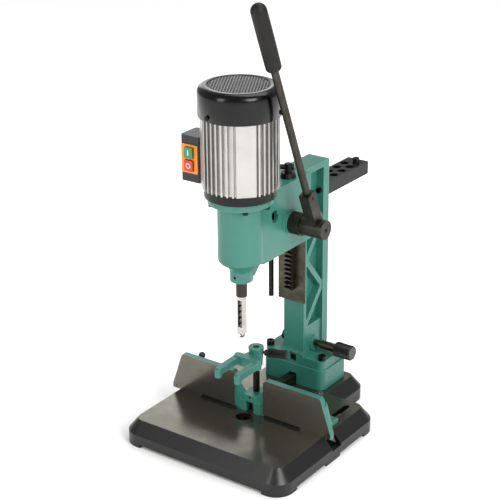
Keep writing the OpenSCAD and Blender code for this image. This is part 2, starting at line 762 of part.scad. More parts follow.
module rotor() {
    color(steel) {
        translate([0, 0, shaft_bottom]) cylinder(h = housing_top + 28 - shaft_bottom, r = motor_shaft_r);
        translate([0, 0, housing_z + 14]) cylinder(h = motor_h - 38, r = rotor_r, $fn = 96);
    }
}

module cooling_fan() {
    color([0.15, 0.15, 0.16]) translate([0, 0, housing_top + 12]) difference() {
        union() {
            cylinder(h = 15, r = 14);
            cylinder(h = 3, r = 54, $fn = 96);
            for (k = [0:8]) rotate([0, 0, 40 * k]) translate([13, -1.2, 0]) cube([39, 2.4, 15]);
        }
        translate([0, 0, -eps]) cylinder(h = 20, r = motor_shaft_r);
    }
}

module chuck() {
    z0 = shaft_bottom - 32;
    color(steel) difference() {
        rotate_extrude() polygon([[0, z0 - 12], [10, z0 - 12], [17, z0 + 2], [19, z0 + 2],
            [19, z0 + 26], [18, z0 + 28], [18, z0 + 46], [0, z0 + 46]]);
        translate([0, 0, shaft_bottom]) cylinder(h = 40, r = motor_shaft_r);
        translate([0, 0, z0 - 13]) cylinder(h = 40, r = bit_r);
        for (k = [0:2]) rotate([0, 0, 120 * k]) x_rod([12, 0, z0 + 34], 10, 3);
    }
}

module auger_bit() {
    top = shaft_bottom - 6;
    flute_top = chisel_shoulder + 4;
    flute_h = flute_top - chisel_tip + 4;
    color(steel) {
        translate([0, 0, flute_top]) cylinder(h = top - flute_top, r = bit_r);
        translate([0, 0, chisel_tip - 4]) linear_extrude(flute_h + 0.5, twist = -360 * flute_h / 22, slices = 60)
            difference() {
                circle(bit_r - 0.02, $fn = 20);
                for (s = [-1, 1]) translate([s * bit_r, 0]) circle(bit_r * 0.62, $fn = 12);
            }
        translate([0, 0, chisel_tip - 6]) cylinder(h = 3, r1 = 0.4, r2 = bit_r * 0.35);
    }
}

// ---- Switch ----

module switch_box() {
    color(black) difference() {
        translate([0, 0, box_z]) linear_extrude(box_h) round_rect(box_x0, box_x1, box_y, box_y + box_d, 4);
        translate([0, 0, box_z + 3]) linear_extrude(box_h - 6) round_rect(box_x0 + 3, box_x1 - 3, box_y + 3, box_y + box_d - 3, 2);
        for (z = [on_z, off_z]) box([button_x - 10, box_y - eps, z - 10.5], [button_x + 10, box_y + 4, z + 10.5]);
        x_rod([box_x1 - 5, 0, box_z + 60], 10, 6);
    }
}

module switch_plate() {
    color([0.93, 0.55, 0.10]) difference() {
        translate([0, box_y, 0]) rotate([90, 0, 0]) linear_extrude(2)
            round_rect(button_x - 17, button_x + 17, off_z - 14, on_z + 14, 3);
        for (z = [on_z, off_z]) box([button_x - 9.4, box_y - 3, z - 9.9], [button_x + 9.4, box_y + 1, z + 9.9]);
    }
}

module push_button(z) {
    translate([0, box_y + 10, 0]) rotate([90, 0, 0]) linear_extrude(16)
        round_rect(button_x - 9, button_x + 9, z - 9.5, z + 9.5, 2);
}

module on_button() color([0.10, 0.55, 0.25]) push_button(on_z);
module off_button() color([0.75, 0.12, 0.10]) push_button(off_z);

// ---- Feed lever ----

module pinion_bushes() {
    color([0.70, 0.55, 0.30]) for (x = [-head_w / 2, cavity_x + 1])
        difference() {
            x_rod([x, axis_y, axis_z], head_w / 2 - cavity_x - 1, bush_r - fit);
            x_rod([x - 1, axis_y, axis_z], head_w / 2, shaft_r + fit);
        }
}

module feed_pinion() {
    color(dark_steel) translate([-rack_w / 2 - 1.5, axis_y, axis_z]) rotate([0, 90, 0]) difference() {
        // a tooth points at the rack, along +y
        rotate([0, 0, 90]) linear_extrude(rack_w + 3) gear_outline(feed_module, feed_teeth, backlash);
        translate([0, 0, -eps]) cylinder(h = rack_w + 4, r = shaft_r);
    }
}

module pinion_shaft() {
    color(steel) x_rod([-head_w / 2 - 8, axis_y, axis_z], hub_x1 - 8 + head_w / 2 + 8, shaft_r);
}

module shaft_collar() {
    color(dark_steel) difference() {
        x_rod([-head_w / 2 - 7.5, axis_y, axis_z], 7, 16);
        x_rod([-head_w / 2 - 9, axis_y, axis_z], 10, shaft_r);
    }
}

// Places things drawn along +z from the pinion axis onto the leaning lever
module on_lever() translate([0, axis_y, axis_z]) rotate([lever_lean, 0, 0]) children();

module lever_hub() {
    color(dark_steel) difference() {
        union() {
            x_rod([hub_x0, axis_y, axis_z], 22, 20);
            x_rod([hub_x0 + 20, axis_y, axis_z], hub_x1 - hub_x0 - 20, 17);
            on_lever() translate([arm_x - arm_w / 2, -arm_d / 2, 0]) cube([arm_w, arm_d, arm_len]);
            on_lever() translate([arm_x - arm_w / 2 - 8, -arm_d / 2, 0]) cube([arm_w, arm_d, 26]);
        }
        x_rod([hub_x0 - 1, axis_y, axis_z], hub_x1 - hub_x0 - 7, shaft_r);
        x_rod([hub_x1 - 9, axis_y, axis_z], 10, 4);
        on_lever() translate([arm_x, 0, 24]) cylinder(h = arm_len, r = rod_r);
        on_lever() x_rod([arm_x, 0, arm_len - 9], arm_w, 3);
    }
}

module hub_screw() {
    color(dark_steel) translate([hub_x1 - 0.5, axis_y, axis_z]) rotate([0, 90, 0]) set_screw(4 - fit, 7.3);
}

module arm_set_screw() {
    color(dark_steel) on_lever() translate([arm_x + arm_w / 2 - 0.5, 0, arm_len - 9]) rotate([0, 90, 0])
        set_screw(3 - fit, arm_w / 2 - 0.5 - rod_r);
}

module lever_rod() {
    color(dark_steel) on_lever() translate([arm_x, 0, 24.5]) cylinder(h = grip_start + 60 - 24.5, r = rod_r);
}

module lever_grip() {
    len = lever_len - grip_start;
    r = grip_r;
    color(black) on_lever() translate([arm_x, 0, grip_start]) difference() {
        rotate_extrude() {
            translate([0, 6]) square([r, len - 6 - r]);
            square([r - 6, 12]);
            translate([r - 6, 6]) circle(6);
            translate([0, len - r]) intersection() {
                circle(r);
                square([r, r]);
            }
        }
        translate([0, 0, -eps]) cylinder(h = 60 + eps, r = rod_r);
    }
}

// ---- Fence ----

// One fence face with its foot and gussets, on the side s
module fence_side(s) {
    y1 = fence_y + fence_t;
    foot_y = fence_y + 62;
    mirror([s < 0 ? 1 : 0, 0, 0]) {
        translate([0, y1, 0]) rotate([90, 0, 0]) linear_extrude(fence_t)
            polygon([[fence_gap / 2, fence_z], [fence_half, fence_z], [fence_half, fence_z + 8],
                [fence_half - 21, fence_top - 4], [fence_half - 24, fence_top],
                [fence_gap / 2 + 5, fence_top], [fence_gap / 2, fence_top - 5]]);
        box([slot_x - 35, y1 - 1, fence_z], [slot_x + 18, foot_y, fence_z + 8]);
        translate([slot_x - 35, 0, 0]) rotate([90, 0, 90]) linear_extrude(6)
            polygon([[y1 - 1, fence_z], [foot_y, fence_z], [foot_y, fence_z + 10], [y1 - 1, fence_top - 22]]);
        // rib that stiffens the outer end
        translate([fence_half - 20, 0, 0]) rotate([90, 0, 90]) linear_extrude(5)
            polygon([[y1 - 1, fence_z], [y1 + 15, fence_z], [y1 + 17, fence_z + 16], [y1 - 1, fence_top - 9]]);
        // web that ties the inner end to the bracket
        translate([0, y1, 0]) rotate([90, 0, 0]) linear_extrude(fence_t - 4)
            polygon([[10, bracket_top - 3], [fence_gap / 2 + 1, fence_top - 20],
                [fence_gap / 2 + 1, fence_z], [10, fence_z]]);
    }
}

module fence() {
    color(green) difference() {
        union() {
            fence_side(1);
            fence_side(-1);
            box([-22, fence_y + 2, fence_z], [22, bracket_back, bracket_top - 12]);
            translate([0, post_y, fence_z]) cylinder(h = bracket_top - fence_z, r = 17);
            box([-13, fence_y + 2, fence_z], [13, post_y, bracket_top]);
        }
        // arch for the bar and the chips
        box([-bar_w / 2 - 0.5, fence_y - eps, fence_z - eps], [bar_w / 2 + 0.5, bracket_back + eps, bar_z1 + 0.2]);
        // chip relief along the foot of both faces
        for (s = [-1, 1]) translate([s > 0 ? fence_gap / 2 - 1 : -fence_gap / 2 - 79, fence_y - eps, fence_z - eps])
            cube([80, fence_t - 3, 5.5]);
        translate([0, post_y, bar_z1 + 1]) cylinder(h = 40, r = post_r);
        translate([0, fence_y, bracket_top - 5]) rotate([-90, 0, 0]) cylinder(h = post_y - fence_y, r = 2.5);
        for (s = [-1, 1]) translate([s * slot_x, stud_y, fence_z - eps]) cylinder(h = 20, r = stud_r + open_gap);
        for (x = bar_screw_x) translate([x, bar_screw_y, fence_z]) cylinder(h = 60, r = 2.3);
        for (s = [-1, 1]) translate([s * (fence_half - 8), fence_y - eps, fence_z + 5]) rotate([-90, 0, 0])
            cylinder(h = fence_t + 2 * eps, r = 1.5);
    }
}

bar_screw_x = [-4.5, 4.5];
bar_screw_y = bracket_back - 5;

module fence_bar() {
    color(dark_steel) difference() {
        union() {
            box([-bar_w / 2, fence_y + 14, bar_z0], [bar_w / 2, rack_back, bar_z1]);
            box([-6.5, rack_back - 14, bar_z1 - 1], [6.5, rack_back, rack_line_z - 3]);
            box([-6.5, rack_back - 57, riser_top + 7], [6.5, rack_back, rack_line_z - 3]);
            translate([6.5, rack_y0, rack_line_z + fence_module]) rotate([0, 90, 180])
                linear_extrude(13) mirror([0, 1, 0]) rack_outline(fence_module, 57, 6, 0.2);
        }
        for (x = bar_screw_x) translate([x, bar_screw_y, bar_z1 - 9]) cylinder(h = 10, r = 2);
    }
}

fence_pitch = PI * fence_module;
rack_y0 = knob_y - fence_pitch * 8;

module fence_bar_screws() {
    color(dark_steel) for (x = bar_screw_x)
        translate([x, bar_screw_y, bracket_top - 12]) cap_screw(2 - fit, bracket_top - 12 - bar_z1 + 8, 3.4, 4);
}

module fence_studs() {
    color(dark_steel) for (s = [-1, 1]) translate([s * slot_x, stud_y, 0]) {
        translate([0, 0, table_h - table_t - 6.2]) cylinder(h = 6, r = 9);
        translate([0, 0, table_h - table_t - 1]) cylinder(h = lever_seat + 11 - table_h + table_t + 1, r = stud_r);
    }
}

module hold_down_post() {
    color(dark_steel) translate([0, post_y, bar_z1 + 1.2]) cylinder(h = boss_top - 2 - bar_z1 - 1.2, r = post_r - fit);
}

module post_set_screw() {
    color(dark_steel) translate([0, fence_y + 2.2, bracket_top - 5]) rotate([90, 0, 0])
        set_screw(2.5 - fit, post_y - fence_y - 2.2 - post_r);
}

lever_seat = fence_z + 8.2;

module lock_lever(s) {
    color(dark_steel) translate([s * slot_x, stud_y, lever_seat]) difference() {
        union() {
            cylinder(h = 13, r = 8);
            translate([0, 0, 12]) cylinder(h = 3, r1 = 8, r2 = 6);
            rotate([0, lock_tilt(s), 0]) translate([0, 0, 8]) cylinder(h = 36, r = 3);
        }
        translate([0, 0, -eps]) cylinder(h = 12, r = stud_r + fit);
    }
}

function lock_tilt(s) = s > 0 ? -18 : -11;

module lock_ball(s) {
    color(black) translate([s * slot_x, stud_y, lever_seat]) rotate([0, lock_tilt(s), 0]) difference() {
        translate([0, 0, 47]) sphere(r = 6.5);
        translate([0, 0, 30]) cylinder(h = 14, r = 3);
    }
}

module lock_lever_left() lock_lever(-1);
module lock_lever_right() lock_lever(1);
module lock_ball_left() lock_ball(-1);
module lock_ball_right() lock_ball(1);

// ---- Hold-down ----

module hold_down_fork() {
    arm_top = boss_top - 7;
    arm_bottom = boss_bottom + 8;
    // the web stays behind the chisel as it comes down between the prongs
    web_y = chisel_s / 2 + 10;
    color(green) difference() {
        union() {
            translate([0, post_y, boss_bottom]) cylinder(h = 36, r1 = boss_r - 3, r2 = boss_r);
            hull() {
                translate([0, post_y, arm_bottom]) cylinder(h = 16, r = boss_r - 3, $fn = 32);
                box([-18, web_y - 4, arm_bottom], [18, web_y + 4, arm_top - 6]);
            }
            hull() {
                for (x = [-prong_x, prong_x]) translate([x, web_y, arm_bottom]) cylinder(h = 18, r = 7, $fn = 32);
            }
            for (x = [-prong_x, prong_x]) {
                hull() {
                    translate([x, web_y - 2, arm_bottom + 3]) cylinder(h = 13, r = 6, $fn = 32);
                    translate([x, -prong_reach + 10, arm_bottom + 3]) cylinder(h = 12, r = 5.5, $fn = 32);
                }
                hull() {
                    translate([x, -prong_reach + 10, arm_bottom + 2]) cylinder(h = 13, r = 5.5, $fn = 32);
                    translate([x, -prong_reach + 6, arm_bottom - 2]) cylinder(h = 14, r = 6, $fn = 32);
                }
            }
        }
        translate([0, post_y, boss_bottom - 1]) cylinder(h = 40, r = post_r + fit);
        on_screw() translate([post_r - 2, 0, 0]) rotate([0, 90, 0]) cylinder(h = 20, r = 2.5 + fit);
    }
}

// Places things drawn along +x onto the axis of the hold-down screw
module on_screw() translate([0, post_y, screw_z]) rotate([0, 0, screw_turn]) children();

// Knurled cylinder along +z
module knurled(r, h, flats) {
    intersection() {
        cylinder(h = h, r = r);
        linear_extrude(h) {
            circle(r - 0.8);
            for (k = [0:flats - 1]) rotate(360 * k / flats) translate([r - 1.6, -r * 1.7 / flats])
                square([2, r * 3.4 / flats]);
        }
    }
}

module hold_down_screw() {
    color(dark_steel) on_screw() rotate([0, 90, 0]) {
        translate([0, 0, post_r + 0.1]) cylinder(h = 20, r = 2.5);
        translate([0, 0, post_r + 16]) knurled(8, 34, 20);
    }
}

// ---- Fence adjustment ----

module fence_pinion_shaft() {
    color(dark_steel) {
        x_rod([-column_w / 2 - 24, knob_y, knob_z], 95 + column_w / 2, 6);
        x_rod([column_w / 2 + 16, knob_y, knob_z], 30, 8);
        // a gap of the pinion faces the rack tooth below it
        translate([-6.5, knob_y, knob_z]) rotate([0, 90, 0]) linear_extrude(13)
            gear_outline(fence_module, fence_teeth, 0.2);
    }
}

module fence_knob() {
    color(black) translate([column_w / 2 + 47, knob_y, knob_z]) rotate([0, 90, 0]) difference() {
        knurled(14, 36, 24);
        translate([0, 0, -eps]) cylinder(h = 3, r = 6);
    }
}

module fence_shaft_collar() {
    color(dark_steel) difference() {
        x_rod([-column_w / 2 - 24, knob_y, knob_z], 8, 10.5);
        x_rod([-column_w / 2 - 25, knob_y, knob_z], 10, 6);
    }
}

// ---- Depth stop and head lock ----

depth_bottom = foot_top + 106;

module depth_rod() {
    color(dark_steel) translate([depth_x, depth_y, depth_bottom])
        cylinder(h = head_top - 8 - depth_bottom, r = depth_r);
}

module depth_lock_knob() {
    color(black) translate([depth_x - depth_r - 0.1, depth_y, depth_lug_z + depth_lug_h / 2]) rotate([0, -90, 0]) {
        cylinder(h = 14, r = 3);
        translate([0, 0, 10]) knurled(11, 14, 16);
    }
}

module head_lock_handle() {
    color(black) translate([lock_x, lock_y, head_top]) {
        translate([0, 0, -18]) cylinder(h = 20, r = 4);
        translate([0, 0, 0.2]) cylinder(h = 9, r1 = 14, r2 = 12);
        translate([0, 0, 9]) cylinder(h = 16, r = 6.5);
        rotate([0, 0, 216]) x_rod([-10, 0, 19], 66, 4.5);
    }
}

base_casting();
riser_block();
column();
foot_bolts();
slide_plate();
slide_plate_screws();
feed_rack();
feed_rack_screws();
tool_holder();
tool_holder_screws();
head_casting();
gib_strip();
gib_screws();
chisel_bushing();
chisel_set_screw();
mortising_chisel();
motor_housing();
lower_end_bell();
upper_end_bell();
motor_flange_bolts();
fan_cover();
fan_cover_screws();
stator();
lower_bearing();
upper_bearing();
rotor();
cooling_fan();
chuck();
auger_bit();
switch_box();
switch_plate();
on_button();
off_button();
pinion_bushes();
feed_pinion();
pinion_shaft();
shaft_collar();
lever_hub();
hub_screw();
arm_set_screw();
lever_rod();
lever_grip();
fence();
fence_bar();
fence_bar_screws();
fence_studs();
hold_down_post();
post_set_screw();
lock_lever_left();
lock_lever_right();
lock_ball_left();
lock_ball_right();
hold_down_fork();
hold_down_screw();
fence_pinion_shaft();
fence_knob();
fence_shaft_collar();
depth_rod();
depth_lock_knob();
head_lock_handle();
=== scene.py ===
# %% [markdown]
# # A benchtop hollow-chisel mortiser
# The machine is a cast-iron base with a ground table, a green column, and a motor head that
# slides down the column when the long lever is pulled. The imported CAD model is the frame: it
# already has every casting, screw and gear in its place. This file gives each of them the
# finish of the real one, rounds the cast edges, and makes again, as finer surfaces, the pieces
# whose look depends on small relief: the perforated fan cover, the knurled knobs and the grip.

# %% Load the frame
import json
import math

import bmesh
import bpy
import numpy as np
from mathutils import Matrix, Vector


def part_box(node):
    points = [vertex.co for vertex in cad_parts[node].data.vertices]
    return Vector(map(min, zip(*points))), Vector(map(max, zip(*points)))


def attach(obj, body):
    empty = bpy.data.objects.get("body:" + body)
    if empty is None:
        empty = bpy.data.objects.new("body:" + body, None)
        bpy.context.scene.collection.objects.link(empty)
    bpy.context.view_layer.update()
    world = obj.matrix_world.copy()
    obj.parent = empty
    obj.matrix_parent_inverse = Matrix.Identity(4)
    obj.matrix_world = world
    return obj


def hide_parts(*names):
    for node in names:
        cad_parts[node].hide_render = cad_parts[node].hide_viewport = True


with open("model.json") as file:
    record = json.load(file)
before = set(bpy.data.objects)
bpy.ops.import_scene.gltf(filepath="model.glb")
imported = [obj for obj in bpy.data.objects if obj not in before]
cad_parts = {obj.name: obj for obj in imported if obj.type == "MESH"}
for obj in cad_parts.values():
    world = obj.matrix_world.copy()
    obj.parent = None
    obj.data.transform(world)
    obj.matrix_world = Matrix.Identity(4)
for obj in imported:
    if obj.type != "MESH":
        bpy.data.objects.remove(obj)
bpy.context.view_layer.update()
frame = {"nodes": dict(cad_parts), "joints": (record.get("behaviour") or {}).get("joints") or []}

nodes = frame["nodes"]
MM = 0.001

# %% [markdown]
# ## Camera
# A product picture is taken from a little above and from the operator's right, with a long
# lens so that upright edges stay nearly parallel. The camera is placed on a sphere round a
# point inside the machine: azimuth turns it round, elevation lifts it. A very small roll
# finishes the view. A camera could also be aimed with a constraint, but worked-out numbers
# are easier to repeat.

# %% Camera
CAMERA_AZIMUTH = math.radians(35.84)
CAMERA_ELEVATION = math.radians(22.754)
CAMERA_ROLL = math.radians(-0.53)
CAMERA_DISTANCE = 2.4478
CAMERA_TARGET = Vector((0.0187, 0.0, 0.3747))
SENSOR_WIDTH = 36.0
FOCAL_LENGTH = 103.61

away = Vector((
    math.sin(CAMERA_AZIMUTH) * math.cos(CAMERA_ELEVATION),
    -math.cos(CAMERA_AZIMUTH) * math.cos(CAMERA_ELEVATION),
    math.sin(CAMERA_ELEVATION),
))
camera_data = bpy.data.cameras.new("camera")
camera_data.sensor_width = SENSOR_WIDTH
camera_data.lens = FOCAL_LENGTH
camera_data.clip_end = 50.0
camera = bpy.data.objects.new("camera", camera_data)
aim = (-away).to_track_quat("-Z", "Y").to_matrix()
camera.matrix_world = Matrix.Translation(CAMERA_TARGET + away * CAMERA_DISTANCE) @ (
    aim @ Matrix.Rotation(CAMERA_ROLL, 3, "Z")
).to_4x4()
bpy.context.scene.collection.objects.link(camera)
bpy.context.scene.camera = camera
print("camera at", [round(v, 3) for v in camera.location])

# %% [markdown]
# ## Floor and light
# A machine is photographed on a pale sweep under large soft boxes. Bright metal needs
# something to mirror: wide lamps give long highlights on the motor's fins, and the gaps
# between the lamps give the dark bands beside them. Four area lamps and a pale sky do both;
# the one behind is there for the ground table, which mirrors it towards the camera.
# The floor is one big matte plane, and it is not part of the object.

# %% Floor and light
FLOOR_HALF = 6.0
SKY_STRENGTH = 0.40
MACHINE_MIDDLE = Vector((0, 0.05, 0.4))
floor_corners = [(-FLOOR_HALF, -FLOOR_HALF, 0), (FLOOR_HALF, -FLOOR_HALF, 0),
                 (FLOOR_HALF, FLOOR_HALF, 0), (-FLOOR_HALF, FLOOR_HALF, 0)]
floor_mesh = bpy.data.meshes.new("floor")
floor_mesh.from_pydata(floor_corners, [], [(0, 1, 2, 3)])
floor = bpy.data.objects.new("floor", floor_mesh)
bpy.context.scene.collection.objects.link(floor)

world = bpy.data.worlds.new("pale_sky")
world.use_nodes = True
world.node_tree.nodes["Background"].inputs["Color"].default_value = (1.0, 1.0, 1.0, 1.0)
world.node_tree.nodes["Background"].inputs["Strength"].default_value = SKY_STRENGTH
bpy.context.scene.world = world
bpy.context.scene.view_settings.view_transform = "Standard"


def soft_box(name, place, width, height, power):
    """A rectangular lamp at a place, turned so that it faces the middle of the machine."""
    data = bpy.data.lights.new(name, "AREA")
    data.shape = "RECTANGLE"
    data.size = width
    data.size_y = height
    data.energy = power
    lamp = bpy.data.objects.new(name, data)
    lamp.location = place
    lamp.rotation_euler = (MACHINE_MIDDLE - Vector(place)).to_track_quat("-Z", "Y").to_euler()
    bpy.context.scene.collection.objects.link(lamp)
    return lamp


soft_box("key_box", (2.5, -0.9, 1.9), 1.3, 1.8, 78)
soft_box("front_box", (-0.7, -2.6, 1.4), 0.8, 1.9, 33)
soft_box("top_box", (0.2, 0.9, 2.7), 2.2, 1.5, 36)
soft_box("back_box", (-2.15, 2.1, 1.3), 1.3, 1.3, 9)

# %% [markdown]
# ## Helpers for materials
# Every finish here is one Principled shader whose colour, roughness and bump come from
# procedural patterns. Colours are written as sRGB hex, the way a paint card gives them, and
# one function turns them to the linear values that the shader wants. A pattern's scale is
# worked out from a real size in millimetres, so that grain stays grain-sized.

# %% Helpers for materials
def linear(code):
    """Linear RGBA of an sRGB hex colour: each channel c becomes c/12.92, or ((c+0.055)/1.055)^2.4."""
    channels = np.array([int(code[k:k + 2], 16) for k in (1, 3, 5)]) / 255
    bright = ((channels + 0.055) / 1.055) ** 2.4
    return (*np.where(channels <= 0.04045, channels / 12.92, bright).tolist(), 1.0)


def grain(size_mm):
    """The scale that makes one wave of a pattern as wide as that size."""
    return 1000.0 / size_mm


def add_node(tree, kind, values=None, links=None, **settings):
    """Adds a node with its settings and input values; a link is (node, output) for an input."""
    made = tree.nodes.new(kind)
    for name, value in settings.items():
        setattr(made, name, value)
    for socket, value in (values or {}).items():
        made.inputs[socket].default_value = value
    for socket, (source, output) in (links or {}).items():
        tree.links.new(source.outputs[output], made.inputs[socket])
    return made


def new_material(name, **sockets):
    """A material with one Principled shader, whose constant sockets are set, and Object coordinates."""
    material = bpy.data.materials.new(name)
    material.use_nodes = True
    tree = material.node_tree
    tree.nodes.clear()
    values = {socket.replace("_", " "): value for socket, value in sockets.items()}
    shader = add_node(tree, "ShaderNodeBsdfPrincipled", values)
    add_node(tree, "ShaderNodeOutputMaterial", links={"Surface": (shader, "BSDF")})
    place = add_node(tree, "ShaderNodeTexCoord")
    return material, tree, shader, place


# The Mix node's sockets by number: its inputs for colours, its output for colours, and its
# inputs for plain values, since several of them share a name
MIX_FACTOR, MIX_A, MIX_B, MIX_COLOUR = 0, 6, 7, 2
MIX_VALUE_A, MIX_VALUE_B = 2, 3


def connect(tree, shader, colour, roughness, bump):
    """Links a mixed colour, a ranged roughness and a bump to the shader."""
    tree.links.new(colour.outputs[MIX_COLOUR], shader.inputs["Base Color"])
    tree.links.new(roughness.outputs["Result"], shader.inputs["Roughness"])
    tree.links.new(bump.outputs["Normal"], shader.inputs["Normal"])

# %% [markdown]
# ## Green machine enamel
# The castings are sprayed with teal enamel over filler. What the eye sees is an even, half
# gloss skin that still follows the sand casting below it: a slow swell a centimetre or two
# across, a fine orange peel of a millimetre, and slightly darker and duller patches. The edges
# are painted paler, a painted highlight where the rounded edges catch the light. A plain colour
# would look like moulded plastic, so the swell and the peel are both in the bump, and a bevel
# comparison finds the edges for the painted highlight.

# %% Green machine enamel
def enamel_pattern(tree, place, paint, shade, edge):
    """The colour, roughness and height of sprayed enamel on a sand casting, with a painted highlight of
    the edge colour along its edges.
    """
    patches = add_node(tree, "ShaderNodeTexNoise", {"Scale": grain(55), "Detail": 3.0},
                       {"Vector": (place, "Object")})
    body = add_node(tree, "ShaderNodeMix", {MIX_A: linear(paint), MIX_B: linear(shade)},
                    {MIX_FACTOR: (patches, "Fac")}, data_type="RGBA")
    # within 1.2 mm of an edge the rounded normal leaves the flat one, and there the colour is mixed
    # towards the edge tone, a painted highlight along the rounded edges
    rounded = add_node(tree, "ShaderNodeBevel", {"Radius": 1.2 * MM}, samples=4)
    flat = add_node(tree, "ShaderNodeNewGeometry")
    likeness = add_node(tree, "ShaderNodeVectorMath", None,
                        {0: (rounded, "Normal"), 1: (flat, "Normal")}, operation="DOT_PRODUCT")
    edge_highlight = add_node(tree, "ShaderNodeMapRange",
                    {"From Min": 0.98, "From Max": 0.82, "To Min": 0.0, "To Max": 0.45},
                    {"Value": (likeness, "Value")})
    colour = add_node(tree, "ShaderNodeMix", {MIX_B: linear(edge)},
                      {MIX_FACTOR: (edge_highlight, "Result"), MIX_A: (body, MIX_COLOUR)}, data_type="RGBA")
    roughness = add_node(tree, "ShaderNodeMapRange", {"To Min": 0.28, "To Max": 0.44},
                         {"Value": (patches, "Fac")})
    swell = add_node(tree, "ShaderNodeTexNoise", {"Scale": grain(14), "Detail": 1.0},
                     {"Vector": (place, "Object")})
    peel = add_node(tree, "ShaderNodeTexNoise", {"Scale": grain(1.4), "Detail": 2.0},
                    {"Vector": (place, "Object")})
    height = add_node(tree, "ShaderNodeMath", {1: 3.5}, {0: (swell, "Fac"), 2: (peel, "Fac")},
                      operation="MULTIPLY_ADD")
    return colour, roughness, height


def enamelled_iron(name, paint, shade, edge, **sockets):
    """Sprayed enamel over cast iron, all over."""
    material, tree, shader, place = new_material(name, **sockets)
    # edge is the colour of a painted highlight along the rounded edges
    colour, roughness, height = enamel_pattern(tree, place, paint, shade, edge)
    bump = add_node(tree, "ShaderNodeBump", {"Strength": 0.5, "Distance": 0.15 * MM},
                    {"Height": (height, "Value")})
    connect(tree, shader, colour, roughness, bump)
    return material


# the third colour of each is a painted highlight along the rounded edges
GREEN, GREEN_SHADE, GREEN_EDGE_HIGHLIGHT = "#34786A", "#28665A", "#86BCAE"
BLACK, BLACK_SHADE, BLACK_EDGE_HIGHLIGHT = "#0B0D0B", "#070807", "#323432"
green_enamel = enamelled_iron("teal_enamel_on_cast_iron", GREEN, GREEN_SHADE, GREEN_EDGE_HIGHLIGHT, IOR=1.5)
black_enamel = enamelled_iron("satin_black_enamel", BLACK, BLACK_SHADE, BLACK_EDGE_HIGHLIGHT, IOR=1.35)

# %% [markdown]
# ## Ground cast iron
# The table and the faces of the fence are ground flat after casting and painting, so one
# casting wears two finishes with a crisp line between them. Grinding leaves fine parallel
# lines and the open graphite grain keeps iron browner and duller than steel. The two
# finishes could be two materials on chosen faces; here one material asks where a point lies,
# because the ground zone is simply everything within a hair of the finished plane.

# %% Ground cast iron
def ground_casting(name, axis, level, above, paint, shade, edge):
    """Enamelled casting with a ground face: the points past a level along one axis are bare.

    axis is "X", "Y" or "Z", level is in metres, and above says which side of it is bare."""
    material, tree, shader, place = new_material(name)
    # the enamel's edge colour is a painted highlight along the rounded edges
    colour, roughness, height = enamel_pattern(tree, place, paint, shade, edge)
    apart = add_node(tree, "ShaderNodeSeparateXYZ", None, {"Vector": (place, "Object")})
    bare = add_node(tree, "ShaderNodeMath", {1: level}, {0: (apart, axis)},
                    operation="GREATER_THAN" if above else "LESS_THAN")
    # grinding lines 45 mm long and half a millimetre apart, along the machine's width
    stretched = add_node(tree, "ShaderNodeMapping", {"Scale": (grain(45), grain(0.5), grain(0.5))},
                         {"Vector": (place, "Object")})
    lines = add_node(tree, "ShaderNodeTexNoise", {"Scale": 1.0, "Detail": 3.0},
                     {"Vector": (stretched, "Vector")})
    stains = add_node(tree, "ShaderNodeTexNoise", {"Scale": grain(38), "Detail": 4.0},
                      {"Vector": (place, "Object")})
    iron = add_node(tree, "ShaderNodeMix", {MIX_A: linear("#827F75"), MIX_B: linear("#65625A")},
                    {MIX_FACTOR: (stains, "Fac")}, data_type="RGBA")
    lined = add_node(tree, "ShaderNodeMix", {MIX_B: linear("#545148")},
                     {MIX_A: (iron, MIX_COLOUR)}, data_type="RGBA")
    line_share = add_node(tree, "ShaderNodeMapRange",
                          {"From Min": 0.35, "From Max": 0.75, "To Max": 0.5},
                          {"Value": (lines, "Fac")})
    tree.links.new(line_share.outputs["Result"], lined.inputs[MIX_FACTOR])
    iron_rough = add_node(tree, "ShaderNodeMapRange", {"To Min": 0.16, "To Max": 0.30},
                          {"Value": (stains, "Fac")})
    final_colour = add_node(tree, "ShaderNodeMix", None,
                            {MIX_FACTOR: (bare, "Value"), MIX_A: (colour, MIX_COLOUR),
                             MIX_B: (lined, MIX_COLOUR)}, data_type="RGBA")
    final_rough = add_node(tree, "ShaderNodeMix", None,
                           {MIX_FACTOR: (bare, "Value"), MIX_VALUE_A: (roughness, "Result"),
                            MIX_VALUE_B: (iron_rough, "Result")})
    final_height = add_node(tree, "ShaderNodeMix", None,
                            {MIX_FACTOR: (bare, "Value"), MIX_VALUE_A: (height, "Value"),
                             MIX_VALUE_B: (lines, "Fac")})
    metallic = add_node(tree, "ShaderNodeMath", {1: 0.9}, {0: (bare, "Value")},
                        operation="MULTIPLY")
    bump = add_node(tree, "ShaderNodeBump", {"Strength": 0.3, "Distance": 0.12 * MM},
                    {"Height": (final_height, 0)})
    tree.links.new(final_colour.outputs[MIX_COLOUR], shader.inputs["Base Color"])
    tree.links.new(final_rough.outputs[0], shader.inputs["Roughness"])
    tree.links.new(metallic.outputs["Value"], shader.inputs["Metallic"])
    tree.links.new(bump.outputs["Normal"], shader.inputs["Normal"])
    return material


HAIR = 0.25 * MM
table_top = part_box("base_casting")[1].z
fence_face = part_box("fence")[0].y
base_iron = ground_casting("black_casting_with_ground_table", "Z", table_top - HAIR, True,
                           BLACK, BLACK_SHADE, BLACK_EDGE_HIGHLIGHT)
fence_iron = ground_casting("green_casting_with_ground_face", "Y", fence_face + HAIR, False,
                            GREEN, GREEN_SHADE, GREEN_EDGE_HIGHLIGHT)
print("table at", round(table_top / MM, 2), "mm, fence face at", round(fence_face / MM, 2), "mm")

# %% [markdown]
# ## Machined, blackened and bright steel
# Steel parts differ by their last operation. Milled slides keep a fine lay of cutter lines
# and a film of oil. Blackened parts, such as screws and the lever, have a brown-black
# conversion layer that is only as smooth as the steel below. Ground tool steel is nearly a
# mirror with faint lines round it. All three are metals, so they keep the default IOR and
# differ in colour, roughness and the spacing of the lay.

